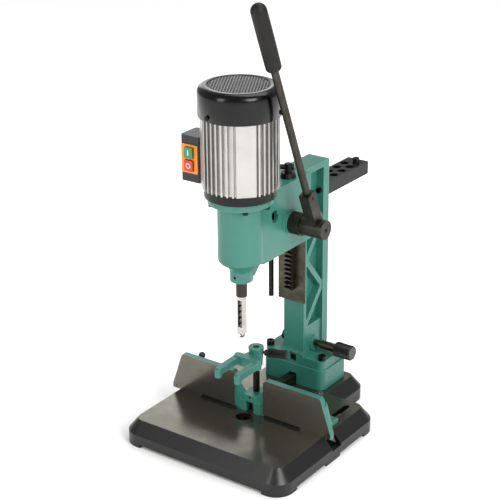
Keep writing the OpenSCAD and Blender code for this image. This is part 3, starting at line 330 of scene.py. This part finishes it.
# %% Machined, blackened and bright steel
def worked_steel(name, tone, dark_tone, rough, lay_mm, relief):
    """Metal with a lay of lines of three spacings, in mm along X, Y and Z, and a soft mottle."""
    material, tree, shader, place = new_material(name, Metallic=1.0)
    along = add_node(tree, "ShaderNodeMapping", {"Scale": tuple(grain(size) for size in lay_mm)},
                     {"Vector": (place, "Object")})
    lay = add_node(tree, "ShaderNodeTexNoise", {"Scale": 1.0, "Detail": 3.0},
                   {"Vector": (along, "Vector")})
    mottle = add_node(tree, "ShaderNodeTexNoise", {"Scale": grain(18), "Detail": 3.0},
                      {"Vector": (place, "Object")})
    share = add_node(tree, "ShaderNodeMath", None, {0: (lay, "Fac"), 1: (mottle, "Fac")},
                     operation="MULTIPLY")
    wide = add_node(tree, "ShaderNodeMapRange", {"From Min": 0.12, "From Max": 0.42},
                    {"Value": (share, "Value")})
    colour = add_node(tree, "ShaderNodeMix", {MIX_A: linear(dark_tone), MIX_B: linear(tone)},
                      {MIX_FACTOR: (wide, "Result")}, data_type="RGBA")
    roughness = add_node(tree, "ShaderNodeMapRange", {"To Min": rough + 0.07, "To Max": rough - 0.07},
                         {"Value": (mottle, "Fac")})
    bump = add_node(tree, "ShaderNodeBump", {"Strength": relief, "Distance": 0.08 * MM},
                    {"Height": (lay, "Fac")})
    connect(tree, shader, colour, roughness, bump)
    return material


milled_steel = worked_steel("milled_oiled_steel", "#5E5A4F", "#3F3C34", 0.36, (30, 30, 0.6), 0.35)
black_oxide = worked_steel("black_oxide_steel", "#3A3836", "#262524", 0.42, (2, 2, 2), 0.25)
lever_steel = worked_steel("blackened_lever_steel", "#4C4843", "#383530", 0.42, (1.2, 1.2, 1.2), 0.3)
tool_steel = worked_steel("ground_tool_steel", "#C9C6C2", "#A39F9A", 0.20, (12, 12, 0.4), 0.12)
chisel_steel = worked_steel("hollow_chisel_steel", "#C9C6C2", "#A39F9A", 0.22, (12, 12, 0.4), 0.12)
auger_steel = worked_steel("oiled_auger_steel", "#8E8A85", "#57534F", 0.26, (8, 8, 0.8), 0.2)
bronze = worked_steel("sintered_bronze", "#B88F52", "#8F6A38", 0.40, (0.8, 0.8, 0.8), 0.3)
winding = worked_steel("varnished_copper_winding", "#A4602F", "#5E3418", 0.35, (0.9, 0.9, 40), 0.6)

# %% [markdown]
# ## The chisel's blued shank
# A mortising chisel is hardened and blued all over, and then only its square part is ground
# bright. Its round shank stays dark. The line between them is the shoulder of the chisel,
# 30 mm below the nose of the head, and the material finds it from the height of the point.

# %% The chisel's blued shank
def blue_above(material, level, blued):
    """Gives a steel a second colour above a level, in metres along Z."""
    tree = material.node_tree
    shader = next(node for node in tree.nodes if node.type == "BSDF_PRINCIPLED")
    ground = shader.inputs["Base Color"].links[0].from_socket
    place = add_node(tree, "ShaderNodeTexCoord")
    apart = add_node(tree, "ShaderNodeSeparateXYZ", None, {"Vector": (place, "Object")})
    above = add_node(tree, "ShaderNodeMath", {1: level}, {0: (apart, "Z")},
                     operation="GREATER_THAN")
    colour = add_node(tree, "ShaderNodeMix", {MIX_B: linear(blued)},
                      {MIX_FACTOR: (above, "Value")}, data_type="RGBA")
    tree.links.new(ground, colour.inputs[MIX_A])
    tree.links.new(colour.outputs[MIX_COLOUR], shader.inputs["Base Color"])


SHOULDER_BELOW_NOSE = 30 * MM
chisel_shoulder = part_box("head_casting")[0].z - SHOULDER_BELOW_NOSE
blue_above(chisel_steel, chisel_shoulder, "#3A3633")

# %% [markdown]
# ## Extruded aluminium
# The motor's housing is an aluminium extrusion: it comes out of the die with its fins and
# flats, and with faint die lines along its length. The metal is left bare and bright, so
# most of the look is reflection. The die lines are a noise drawn out along Z, fine round the
# housing and very long down it, and they also vary the roughness a little.

# %% Extruded aluminium
def extruded_aluminium():
    """Bare aluminium with die lines along Z, about a millimetre apart."""
    material, tree, shader, place = new_material("extruded_aluminium", Metallic=1.0)
    drawn = add_node(tree, "ShaderNodeMapping", {"Scale": (grain(1.1), grain(1.1), grain(160))},
                     {"Vector": (place, "Object")})
    lines = add_node(tree, "ShaderNodeTexNoise", {"Scale": 1.0, "Detail": 3.0},
                     {"Vector": (drawn, "Vector")})
    bloom = add_node(tree, "ShaderNodeTexNoise", {"Scale": grain(30), "Detail": 2.0},
                     {"Vector": (place, "Object")})
    colour = add_node(tree, "ShaderNodeMix", {MIX_A: linear("#C2C0BD"), MIX_B: linear("#A9A7A3")},
                      {MIX_FACTOR: (bloom, "Fac")}, data_type="RGBA")
    roughness = add_node(tree, "ShaderNodeMapRange", {"To Min": 0.26, "To Max": 0.44},
                         {"Value": (lines, "Fac")})
    bump = add_node(tree, "ShaderNodeBump", {"Strength": 0.2, "Distance": 0.1 * MM},
                    {"Height": (lines, "Fac")})
    connect(tree, shader, colour, roughness, bump)
    return material


aluminium = extruded_aluminium()

# %% [markdown]
# ## Plastics and gloss enamel
# The fan cover is pressed sheet with a smooth gloss enamel. The grip and the knobs are
# moulded phenolic, darker and satin. The switch is moulded ABS: orange surround, green and
# red buttons. Moulded plastic carries the spark-eroded texture of its mould, a fine even
# grain of a third of a millimetre, and its colour is nearly constant, with a slight cloud.

# %% Plastics and gloss enamel
def moulded(name, tone, dark_tone, rough, grain_mm, relief, **sockets):
    """Moulded or dipped skin: a faint cloud in the colour and a fine even texture in the bump."""
    material, tree, shader, place = new_material(name, **sockets)
    cloud = add_node(tree, "ShaderNodeTexNoise", {"Scale": grain(25), "Detail": 2.0},
                     {"Vector": (place, "Object")})
    texture = add_node(tree, "ShaderNodeTexNoise", {"Scale": grain(grain_mm), "Detail": 2.0},
                       {"Vector": (place, "Object")})
    colour = add_node(tree, "ShaderNodeMix", {MIX_A: linear(tone), MIX_B: linear(dark_tone)},
                      {MIX_FACTOR: (cloud, "Fac")}, data_type="RGBA")
    roughness = add_node(tree, "ShaderNodeMapRange", {"To Min": rough - 0.05, "To Max": rough + 0.05},
                         {"Value": (cloud, "Fac")})
    bump = add_node(tree, "ShaderNodeBump", {"Strength": relief, "Distance": 0.06 * MM},
                    {"Height": (texture, "Fac")})
    connect(tree, shader, colour, roughness, bump)
    return material


gloss_black = moulded("gloss_black_enamel_on_sheet", "#060607", "#030304", 0.20, 2.5, 0.06, IOR=1.36)
phenolic = moulded("satin_black_phenolic", "#171614", "#11100F", 0.36, 0.5, 0.25, IOR=1.55)
grip_skin = moulded("brown_black_grip", "#15130F", "#0F0E0B", 0.52, 0.7, 0.3, IOR=1.34)
switch_black = moulded("black_abs_box", "#1C1D1E", "#151617", 0.40, 0.4, 0.3, IOR=1.5)
orange_abs = moulded("orange_abs", "#F0932B", "#E4841D", 0.36, 0.4, 0.2, IOR=1.5)
green_abs = moulded("green_abs", "#3E8F62", "#357E55", 0.32, 0.4, 0.15, IOR=1.5)
red_abs = moulded("red_abs", "#D1422B", "#B93722", 0.32, 0.4, 0.15, IOR=1.5)
white_mark = moulded("white_marking_paint", "#E9ECE9", "#DDE0DD", 0.45, 0.3, 0.1, IOR=1.5)

# %% [markdown]
# ## Finishes on the CAD nodes
# A table from finish to nodes is the parts list of a paint shop. Each CAD node keeps its
# mesh: only its material slot changes.

# %% Finishes on the CAD nodes
FINISHES = [
    (green_enamel, ["head_casting", "column", "riser_block", "hold_down_fork"]),
    (fence_iron, ["fence"]),
    (base_iron, ["base_casting"]),
    (black_enamel, ["tool_holder", "lower_end_bell", "upper_end_bell"]),
    (aluminium, ["motor_housing"]),
    (milled_steel, ["slide_plate", "feed_rack", "gib_strip", "feed_pinion", "fence_bar",
                    "fence_pinion_shaft"]),
    (auger_steel, ["auger_bit"]),
    (chisel_steel, ["mortising_chisel"]),
    (tool_steel, ["chuck", "chisel_bushing", "lower_bearing", "upper_bearing", "rotor",
                  "pinion_shaft"]),
    (lever_steel, ["lever_hub", "lever_rod", "shaft_collar"]),
    (black_oxide, ["foot_bolts", "slide_plate_screws", "feed_rack_screws", "tool_holder_screws",
                   "gib_screws", "chisel_set_screw", "motor_flange_bolts", "fan_cover_screws",
                   "hub_screw", "arm_set_screw", "fence_bar_screws", "post_set_screw",
                   "fence_studs", "hold_down_post", "hold_down_screw", "lock_lever_left",
                   "lock_lever_right", "depth_rod", "head_lock_handle", "fence_shaft_collar"]),
    (bronze, ["pinion_bushes"]),
    (winding, ["stator"]),
    (gloss_black, ["fan_cover"]),
    (grip_skin, ["lever_grip"]),
    (phenolic, ["cooling_fan", "lock_ball_left", "lock_ball_right", "fence_knob",
                "depth_lock_knob"]),
    (switch_black, ["switch_box"]),
    (orange_abs, ["switch_plate"]),
    (green_abs, ["on_button"]),
    (red_abs, ["off_button"]),
]
for finish, names in FINISHES:
    for name in names:
        nodes[name].data.materials.clear()
        nodes[name].data.materials.append(finish)
unpainted = sorted(set(nodes) - {name for _, names in FINISHES for name in names})
print("nodes with no finish:", unpainted)

# %% [markdown]
# ## Rounded edges
# No real edge is a razor: a casting leaves the sand with a radius of a millimetre or more,
# a machined part is deburred, and paint rounds both. The small radius is what catches the
# light. The CAD meshes stay as they are, and modifiers do the work: Weld joins the loose
# triangles, Bevel rounds every edge sharper than the angle, and Weighted Normal keeps the
# big faces flat in shading.

# %% Rounded edges
EDGE_ANGLE = math.radians(32)
EDGE_SEGMENTS = 2
WELD_REACH = 0.002 * MM


def soften(piece, radius):
    """Welds a mesh, rounds its sharp edges to a radius in metres and smooths the shading."""
    piece.data.polygons.foreach_set("use_smooth", np.ones(len(piece.data.polygons), bool))
    weld = piece.modifiers.new("weld", "WELD")
    weld.merge_threshold = WELD_REACH
    bevel = piece.modifiers.new("edge", "BEVEL")
    bevel.width = radius
    bevel.segments = EDGE_SEGMENTS
    bevel.limit_method = "ANGLE"
    bevel.angle_limit = EDGE_ANGLE
    shading = piece.modifiers.new("shading", "WEIGHTED_NORMAL")
    shading.keep_sharp = True


EDGE_RADII = [
    (1.4 * MM, ["base_casting", "head_casting"]),
    (1.0 * MM, ["riser_block", "column", "fence", "hold_down_fork"]),
    (0.7 * MM, ["motor_housing", "lower_end_bell", "tool_holder", "switch_box", "lever_hub"]),
    (0.4 * MM, ["slide_plate", "switch_plate", "on_button", "off_button", "foot_bolts",
                "tool_holder_screws", "lock_lever_left", "lock_lever_right", "hold_down_post",
                "fence_bar", "head_lock_handle", "lever_rod", "shaft_collar"]),
]
for radius, names in EDGE_RADII:
    for name in names:
        soften(nodes[name], radius)

# %% [markdown]
# ## Surfaces from grids
# A turned or knurled piece is a surface with two parameters: how far along its axis, and
# which way round it. Numpy works out every point of the grid at once, and the mesh is the
# grid's quads, closed round and closed at both ends. A ring has no ends: its section is
# closed as well. The same two helpers serve every new piece but the perforated field.

# %% Surfaces from grids
def linked_piece(name, points, faces):
    """A mesh object from an array of points and a list of faces, linked to the scene."""
    mesh = bpy.data.meshes.new(name)
    mesh.from_pydata(points.reshape(-1, 3).tolist(), [], faces)
    mesh.update()
    piece = bpy.data.objects.new(name, mesh)
    bpy.context.scene.collection.objects.link(piece)
    return piece


def tube(name, grid):
    """A closed mesh over a grid of points, rows along it and columns round it.

    Each quad joins (i, j), (i, j+1), (i+1, j+1) and (i+1, j), columns counted round; the first
    and last rows are closed with a flat face each."""
    rows, columns = grid.shape[:2]
    index = np.arange(rows * columns).reshape(rows, columns)
    after = np.roll(index, -1, axis=1)
    quads = np.stack([index[:-1], after[:-1], after[1:], index[1:]], axis=-1).reshape(-1, 4)
    return linked_piece(name, grid, quads.tolist() + [index[0, ::-1].tolist(), index[-1].tolist()])


def closed_ring(name, grid):
    """A closed mesh over a grid of points, rows and columns both joined round: a torus of quads."""
    rows, columns = grid.shape[:2]
    index = np.arange(rows * columns).reshape(rows, columns)
    after = np.roll(index, -1, axis=1)
    quads = np.stack([index, after, np.roll(after, -1, axis=0), np.roll(index, -1, axis=0)], axis=-1)
    return linked_piece(name, grid, quads.reshape(-1, 4).tolist())


def axes_along(direction):
    """Three unit vectors as rows of a matrix, the third one along a direction."""
    third = np.array(direction, float) / np.linalg.norm(direction)
    helper = np.array([1.0, 0.0, 0.0]) if abs(third[0]) < 0.9 else np.array([0.0, 0.0, 1.0])
    first = np.cross(helper, third)
    first /= np.linalg.norm(first)
    return np.array([first, np.cross(third, first), third])


def round_grid(radius, height, angle, origin, direction):
    """Points at a radius, height and angle about an axis: origin + r cos a U + r sin a V + h W."""
    local = np.stack([radius * np.cos(angle), radius * np.sin(angle),
                      np.broadcast_to(height, radius.shape)], axis=-1)
    return local @ axes_along(direction) + np.array(origin, float)


def smooth_shading(piece, degrees=35):
    """Smooth shading with a crease wherever two faces meet more sharply than an angle."""
    piece.data.polygons.foreach_set("use_smooth", np.ones(len(piece.data.polygons), bool))
    piece.data.set_sharp_from_angle(angle=math.radians(degrees))


def finished(piece, material, body, slot, *stands_for):
    """Gives a piece its material and its body, and hides the CAD nodes it stands for; slot is not used.
    """
    piece.data.materials.append(material)
    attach(piece, body)
    if stands_for:
        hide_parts(*stands_for)
    return piece

# %% [markdown]
# ## Lever grip
# The grip is a moulded sleeve pushed onto the lever: a long cylinder, very slightly barrelled
# for the hand, with a half-round free end and a rounded mouth. It could be lathed with the
# Screw modifier, but a profile given as a formula is shorter: the radius is a barrel, cut
# down by a quarter circle at the mouth and by a larger one at the end.

# %% Lever grip
LEVER_LEAN = math.radians(22)
lever_pivot = next(j for j in frame["joints"] if j["name"] == "lever_turn")["pos_m"]
rod_low, rod_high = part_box("lever_rod")
lever_line = np.array([0.0, -math.sin(LEVER_LEAN), math.cos(LEVER_LEAN)])
lever_origin = np.array([(rod_low.x + rod_high.x) / 2, lever_pivot[1], lever_pivot[2]])
grip_low, grip_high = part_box("lever_grip")
grip_radius = (grip_high.x - grip_low.x) / 2
GRIP_START, GRIP_END, MOUTH_ROUND = 0.333, 0.457, 0.006
BARREL_DROP, POLE_RADIUS = 0.5 * MM, 0.4 * MM
GRIP_ROWS, GRIP_COLUMNS = 72, 72


def grip_profile(count):
    """Height along the lever and radius of the grip.

    Barrel: full radius less a parabola that drops 0.5 mm from its middle to each end. Mouth:
    a quarter circle of 6 mm. End: a quarter circle of the full radius, to a small flat pole."""
    share = np.linspace(0, 1, count)
    height = GRIP_START + (GRIP_END - GRIP_START) * (1 - np.cos(math.pi * share)) / 2
    middle = (GRIP_START + GRIP_END) / 2
    barrel = grip_radius - BARREL_DROP * ((height - middle) / (GRIP_END - middle)) ** 2
    into = np.clip(GRIP_START + MOUTH_ROUND - height, 0, MOUTH_ROUND)
    mouth = np.sqrt(MOUTH_ROUND ** 2 - into ** 2) - MOUTH_ROUND
    past = np.clip(height - (GRIP_END - grip_radius), 0, grip_radius)
    end = np.sqrt(np.maximum(grip_radius ** 2 - past ** 2, POLE_RADIUS ** 2)) - grip_radius
    return height, np.maximum(barrel + mouth + end, POLE_RADIUS)


grip_height, grip_r = grip_profile(GRIP_ROWS)
turn = np.linspace(0, 2 * math.pi, GRIP_COLUMNS, endpoint=False)
grip_grid = round_grid(grip_r[:, None] * np.ones(GRIP_COLUMNS), grip_height[:, None], turn,
                       lever_origin, lever_line)
grip = tube("lever_grip_moulded", grip_grid)
smooth_shading(grip, 50)
finished(grip, grip_skin, "feed_lever", "black_plastic", "lever_grip")
print("grip radius", round(grip_radius / MM, 2), "mm")

# %% [markdown]
# ## Knurled knobs
# A knurling wheel presses two crossing sets of grooves into a turned blank, and what stands
# between them is a field of small diamonds. The relief is the lower of two waves that run
# round the knob with opposite slants; near the ends the relief fades and the radius drops
# in a chamfer. Moulded knobs have straight ribs instead: one wave, no slant.

# %% Knurled knobs
POINTS_PER_RIB, KNOB_ROWS, TURNED_COLUMNS = 8, 44, 48


def knob_grid(radius, length, ribs, slant, depth, chamfer, origin, direction, start=0.0):
    """Points of a gripped cylinder, from start along its axis.

    Radius = R - depth * (1 - w)/2 - chamfer shape, where w is the rib wave: one cosine with
    ribs waves round when slant is 0, else the smaller of two cosines slanted each way."""
    angle = np.linspace(0, 2 * math.pi, ribs * POINTS_PER_RIB, endpoint=False)[None, :]
    share = np.linspace(0, 1, KNOB_ROWS)[:, None]
    to_end = np.minimum(share, 1 - share) * length
    shift = slant * share * length / radius
    wave = np.minimum(np.cos(ribs * (angle + shift)), np.cos(ribs * (angle - shift)))
    fade = np.clip(to_end / (1.2 * chamfer), 0, 1)
    drop = np.clip(chamfer - to_end, 0, chamfer)
    r = radius - depth * fade * (1 - wave) / 2 - drop
    height = start + share * length + 0 * angle
    return round_grid(r, height, angle, origin, direction)


def turned(name, steps, origin, direction):
    """A turned piece from (height, radius) steps."""
    height = np.array([step[0] for step in steps])[:, None]
    radius = np.array([step[1] for step in steps])[:, None] * np.ones(TURNED_COLUMNS)
    angle = np.linspace(0, 2 * math.pi, TURNED_COLUMNS, endpoint=False)
    return tube(name, round_grid(radius, height, angle, origin, direction))


knob_low, knob_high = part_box("fence_knob")
knob_radius = (knob_high.z - knob_low.z) / 2
knob_centre = (knob_high + knob_low) / 2
fence_knob = tube("fence_knob_ribbed", knob_grid(
    knob_radius, knob_high.x - knob_low.x, ribs=26, slant=0.0, depth=1.3 * MM, chamfer=1.5 * MM,
    origin=(knob_low.x, knob_centre.y, knob_centre.z), direction=(1, 0, 0)))
smooth_shading(fence_knob, 40)
finished(fence_knob, phenolic, "fence_knob", "black_plastic", "fence_knob")

SCREW_TURN = math.radians(20)
SCREW_BELOW_FORK_TOP = 10 * MM
post_low, post_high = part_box("hold_down_post")
screw_origin = ((post_low.x + post_high.x) / 2, (post_low.y + post_high.y) / 2,
                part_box("hold_down_fork")[1].z - SCREW_BELOW_FORK_TOP)
screw_line = (math.cos(SCREW_TURN), math.sin(SCREW_TURN), 0)
screw_head = tube("hold_down_screw_head", knob_grid(
    radius=8.0 * MM, length=34 * MM, ribs=22, slant=0.35, depth=0.9 * MM, chamfer=1.2 * MM,
    origin=screw_origin, direction=screw_line, start=22 * MM))
smooth_shading(screw_head, 40)
finished(screw_head, black_oxide, "hold_down_screw", "dark_steel", "hold_down_screw")
screw_shank = turned("hold_down_screw_shank", [
    (6.1 * MM, 2.0 * MM), (6.6 * MM, 2.5 * MM), (16 * MM, 2.5 * MM), (16.2 * MM, 5.5 * MM),
    (21 * MM, 5.5 * MM), (22.5 * MM, 6.0 * MM)], screw_origin, screw_line)
smooth_shading(screw_shank)
finished(screw_shank, black_oxide, "hold_down_screw", "dark_steel")

lock_low, lock_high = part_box("depth_lock_knob")
lock_centre = (lock_low + lock_high) / 2
lock_radius = (lock_high.z - lock_low.z) / 2
lock_origin = (lock_high.x, lock_centre.y, lock_centre.z)
lock_knob = tube("depth_lock_knob_ribbed", knob_grid(
    lock_radius, length=14 * MM, ribs=18, slant=0.0, depth=1.1 * MM, chamfer=1.2 * MM,
    origin=lock_origin, direction=(-1, 0, 0), start=10 * MM))
smooth_shading(lock_knob, 40)
finished(lock_knob, phenolic, "depth_lock_knob", "black_plastic", "depth_lock_knob")
lock_stem = turned("depth_lock_stem", [(0, 2.6 * MM), (0.4 * MM, 3.0 * MM), (10.5 * MM, 3.0 * MM)],
                   lock_origin, (-1, 0, 0))
smooth_shading(lock_stem)
finished(lock_stem, black_oxide, "depth_lock_knob", "dark_steel")

# %% [markdown]
# ## Fan cover and its perforated top
# The cover is a deep cap of pressed sheet whose top is punched with a close field of holes,
# so that the fan can draw air. Punching the holes with Booleans would be slow and fragile.
# Instead the field is tiled: one hexagonal cell with a round hole is a small ring of quads,
# and copies of it on a triangular lattice meet edge to edge. The cap is a profile turned
# about the motor's axis, open in the middle, with its lip resting on the field.

# %% Fan cover and its perforated top
cover_low, cover_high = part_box("fan_cover")
cover_radius = (cover_high.x - cover_low.x) / 2
COVER_ROUND, COVER_WALL, FIELD_RADIUS = 12 * MM, 1.6 * MM, 52 * MM
HOLE_PITCH, HOLE_RADIUS, FIELD_SINK, FIELD_WALL = 5.6 * MM, 2.1 * MM, 0.5 * MM, 1.0 * MM
COVER_COLUMNS, CELL_POINTS = 144, 12


def cover_profile():
    """Height and radius round the section of the cap, outside first and back inside.

    Outside: up the wall, round a quarter circle, in along the top to the field's edge.
    Inside: the same, one wall thickness in."""
    arc = np.linspace(0, math.pi / 2, 14)
    outer_r = np.concatenate([[cover_radius - 0.5 * MM, cover_radius],
                              cover_radius - COVER_ROUND + COVER_ROUND * np.cos(arc),
                              [FIELD_RADIUS + 1.0 * MM, FIELD_RADIUS]])
    outer_z = np.concatenate([[cover_low.z, cover_low.z + 0.5 * MM],
                              cover_high.z - COVER_ROUND + COVER_ROUND * np.sin(arc),
                              [cover_high.z, cover_high.z - 0.5 * MM]])
    inner_arc = arc[::-1]
    inner_round = COVER_ROUND - COVER_WALL
    inner_r = np.concatenate([[FIELD_RADIUS],
                              cover_radius - COVER_ROUND + inner_round * np.cos(inner_arc),
                              [cover_radius - COVER_WALL]])
    inner_z = np.concatenate([[cover_high.z - COVER_WALL],
                              cover_high.z - COVER_ROUND + inner_round * np.sin(inner_arc),
                              [cover_low.z]])
    return np.concatenate([outer_r, inner_r]), np.concatenate([outer_z, inner_z])


cap_r, cap_z = cover_profile()
round_motor = np.linspace(0, 2 * math.pi, COVER_COLUMNS, endpoint=False)
cover_cap = closed_ring("fan_cover_cap", np.stack([
    cap_r[:, None] * np.cos(round_motor), cap_r[:, None] * np.sin(round_motor),
    cap_z[:, None] * np.ones(COVER_COLUMNS)], axis=-1))
smooth_shading(cover_cap, 50)
finished(cover_cap, gloss_black, "head", "black_gloss", "fan_cover")


def perforated_field(name, radius, top, thickness):
    """A disc of hexagonal cells, each with a round hole through it.

    Cell centres are on a triangular lattice, pitch p: (p (i + j/2), p j sqrt(3)/2). A cell's
    outer ring runs along the hexagon, six corners and six edge middles; the inner ring is
    twelve points of the hole. Top, hole wall and underside are three rings of quads."""
    span = int(radius / HOLE_PITCH) + 2
    i, j = np.meshgrid(np.arange(-2 * span, 2 * span + 1), np.arange(-span, span + 1))
    centres = np.stack([HOLE_PITCH * (i + j / 2), HOLE_PITCH * j * math.sqrt(3) / 2], axis=-1)
    centres = centres.reshape(-1, 2)
    centres = centres[np.hypot(centres[:, 0], centres[:, 1]) < radius]
    angle = np.arange(CELL_POINTS) * math.pi / 6
    apothem = HOLE_PITCH / 2
    reach = np.where(np.arange(CELL_POINTS) % 2 == 0, apothem, apothem / math.cos(math.pi / 6))
    spokes = np.stack([np.cos(angle), np.sin(angle)], axis=-1)
    edge, hole = spokes * reach[:, None], spokes * HOLE_RADIUS
    levels = [(edge, top), (hole, top), (hole, top - thickness), (edge, top - thickness)]
    rings = [np.concatenate([centres[:, None] + ring, np.full((len(centres), CELL_POINTS, 1), z)],
                            axis=-1) for ring, z in levels]
    points = np.stack(rings, axis=1)
    index = np.arange(points.size // 3).reshape(points.shape[:3])
    after = np.roll(index, -1, axis=2)
    quads = np.stack([index[:, :3], after[:, :3], after[:, 1:], index[:, 1:]], axis=-1)
    piece = linked_piece(name, points, quads.reshape(-1, 4).tolist())
    shell = bmesh.new()
    shell.from_mesh(piece.data)
    bmesh.ops.remove_doubles(shell, verts=shell.verts, dist=0.01 * MM)
    rim = [edge for edge in shell.edges if edge.is_boundary]
    bmesh.ops.bridge_loops(shell, edges=rim)
    bmesh.ops.recalc_face_normals(shell, faces=shell.faces)
    shell.to_mesh(piece.data)
    shell.free()
    print(name, "has", len(centres), "holes")
    return piece


fan_field = perforated_field("fan_cover_field", FIELD_RADIUS, cover_high.z - FIELD_SINK, FIELD_WALL)
smooth_shading(fan_field, 30)
finished(fan_field, gloss_black, "head", "black_gloss")

# %% [markdown]
# ## Marks on the buttons
# A switch carries the two marks that every machine has, a bar for on and a ring for off.
# They are moulded proud of the button and painted white. Here the bar is a short pad with
# round ends and the ring a small torus of square section, each a third of a millimetre high.

# %% Marks on the buttons
MARK_HEIGHT, MARK_SINK, MARK_POINTS = 0.35 * MM, 0.2 * MM, 32
on_low, on_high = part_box("on_button")
bar_centre = ((on_low.x + on_high.x) / 2, on_low.y - MARK_HEIGHT, (on_low.z + on_high.z) / 2)
BAR_HALF_WIDTH, BAR_HALF_LENGTH = 1.0 * MM, 5.0 * MM
bar_straight = BAR_HALF_LENGTH - BAR_HALF_WIDTH
rounding = np.linspace(0, 2 * math.pi, MARK_POINTS, endpoint=False)
bar_outline = np.stack([
    BAR_HALF_WIDTH * np.cos(rounding),
    BAR_HALF_WIDTH * np.sin(rounding) + np.sign(np.sin(rounding)) * bar_straight,
], axis=-1)
bar_rows = [np.stack([bar_centre[0] + bar_outline[:, 0], np.full(MARK_POINTS, y),
                      bar_centre[2] + bar_outline[:, 1]], axis=-1)
            for y in (on_low.y + MARK_SINK, bar_centre[1])]
on_mark = tube("on_mark", np.stack(bar_rows))
smooth_shading(on_mark)
finished(on_mark, white_mark, "on_button", "green_button")

off_low, off_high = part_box("off_button")
RING_OUTER, RING_INNER = 4.6 * MM, 3.5 * MM
ring_sides = [(RING_OUTER, MARK_HEIGHT), (RING_OUTER, -MARK_SINK),
              (RING_INNER, -MARK_SINK), (RING_INNER, MARK_HEIGHT)]
off_mark = closed_ring("off_mark", np.stack([
    np.stack([(off_low.x + off_high.x) / 2 + r * np.cos(rounding),
              np.full(MARK_POINTS, off_low.y - proud),
              (off_low.z + off_high.z) / 2 + r * np.sin(rounding)], axis=-1)
    for r, proud in ring_sides]))
smooth_shading(off_mark)
finished(off_mark, white_mark, "off_button", "red_button")

# %% [markdown]
# ## Floor finish
# The sweep is matte paper: pale, nearly white, with the faintest tooth. A little emission
# stands for the lamps that light a sweep from behind the machine; it fades out below the
# machine, where no lamp reaches.

# %% Floor finish
paper, paper_tree, paper_shader, paper_place = new_material(
    "pale_paper_sweep", Roughness=0.9, Emission_Color=(1.0, 1.0, 1.0, 1.0))
tooth = add_node(paper_tree, "ShaderNodeTexNoise", {"Scale": grain(6), "Detail": 3.0},
                 {"Vector": (paper_place, "Object")})
paper_colour = add_node(paper_tree, "ShaderNodeMix",
                        {MIX_A: linear("#F4F4F3"), MIX_B: linear("#F1F1F0")},
                        {MIX_FACTOR: (tooth, "Fac")}, data_type="RGBA")
paper_tree.links.new(paper_colour.outputs[MIX_COLOUR], paper_shader.inputs["Base Color"])
away_from_machine = add_node(paper_tree, "ShaderNodeVectorMath", None,
                             {0: (paper_place, "Object")}, operation="LENGTH")
glow = add_node(paper_tree, "ShaderNodeMapRange",
                {"From Min": 0.10, "From Max": 0.60, "To Max": 0.50},
                {"Value": (away_from_machine, "Value")}, interpolation_type="SMOOTHSTEP")
paper_tree.links.new(glow.outputs["Result"], paper_shader.inputs["Emission Strength"])
floor.data.materials.append(paper)
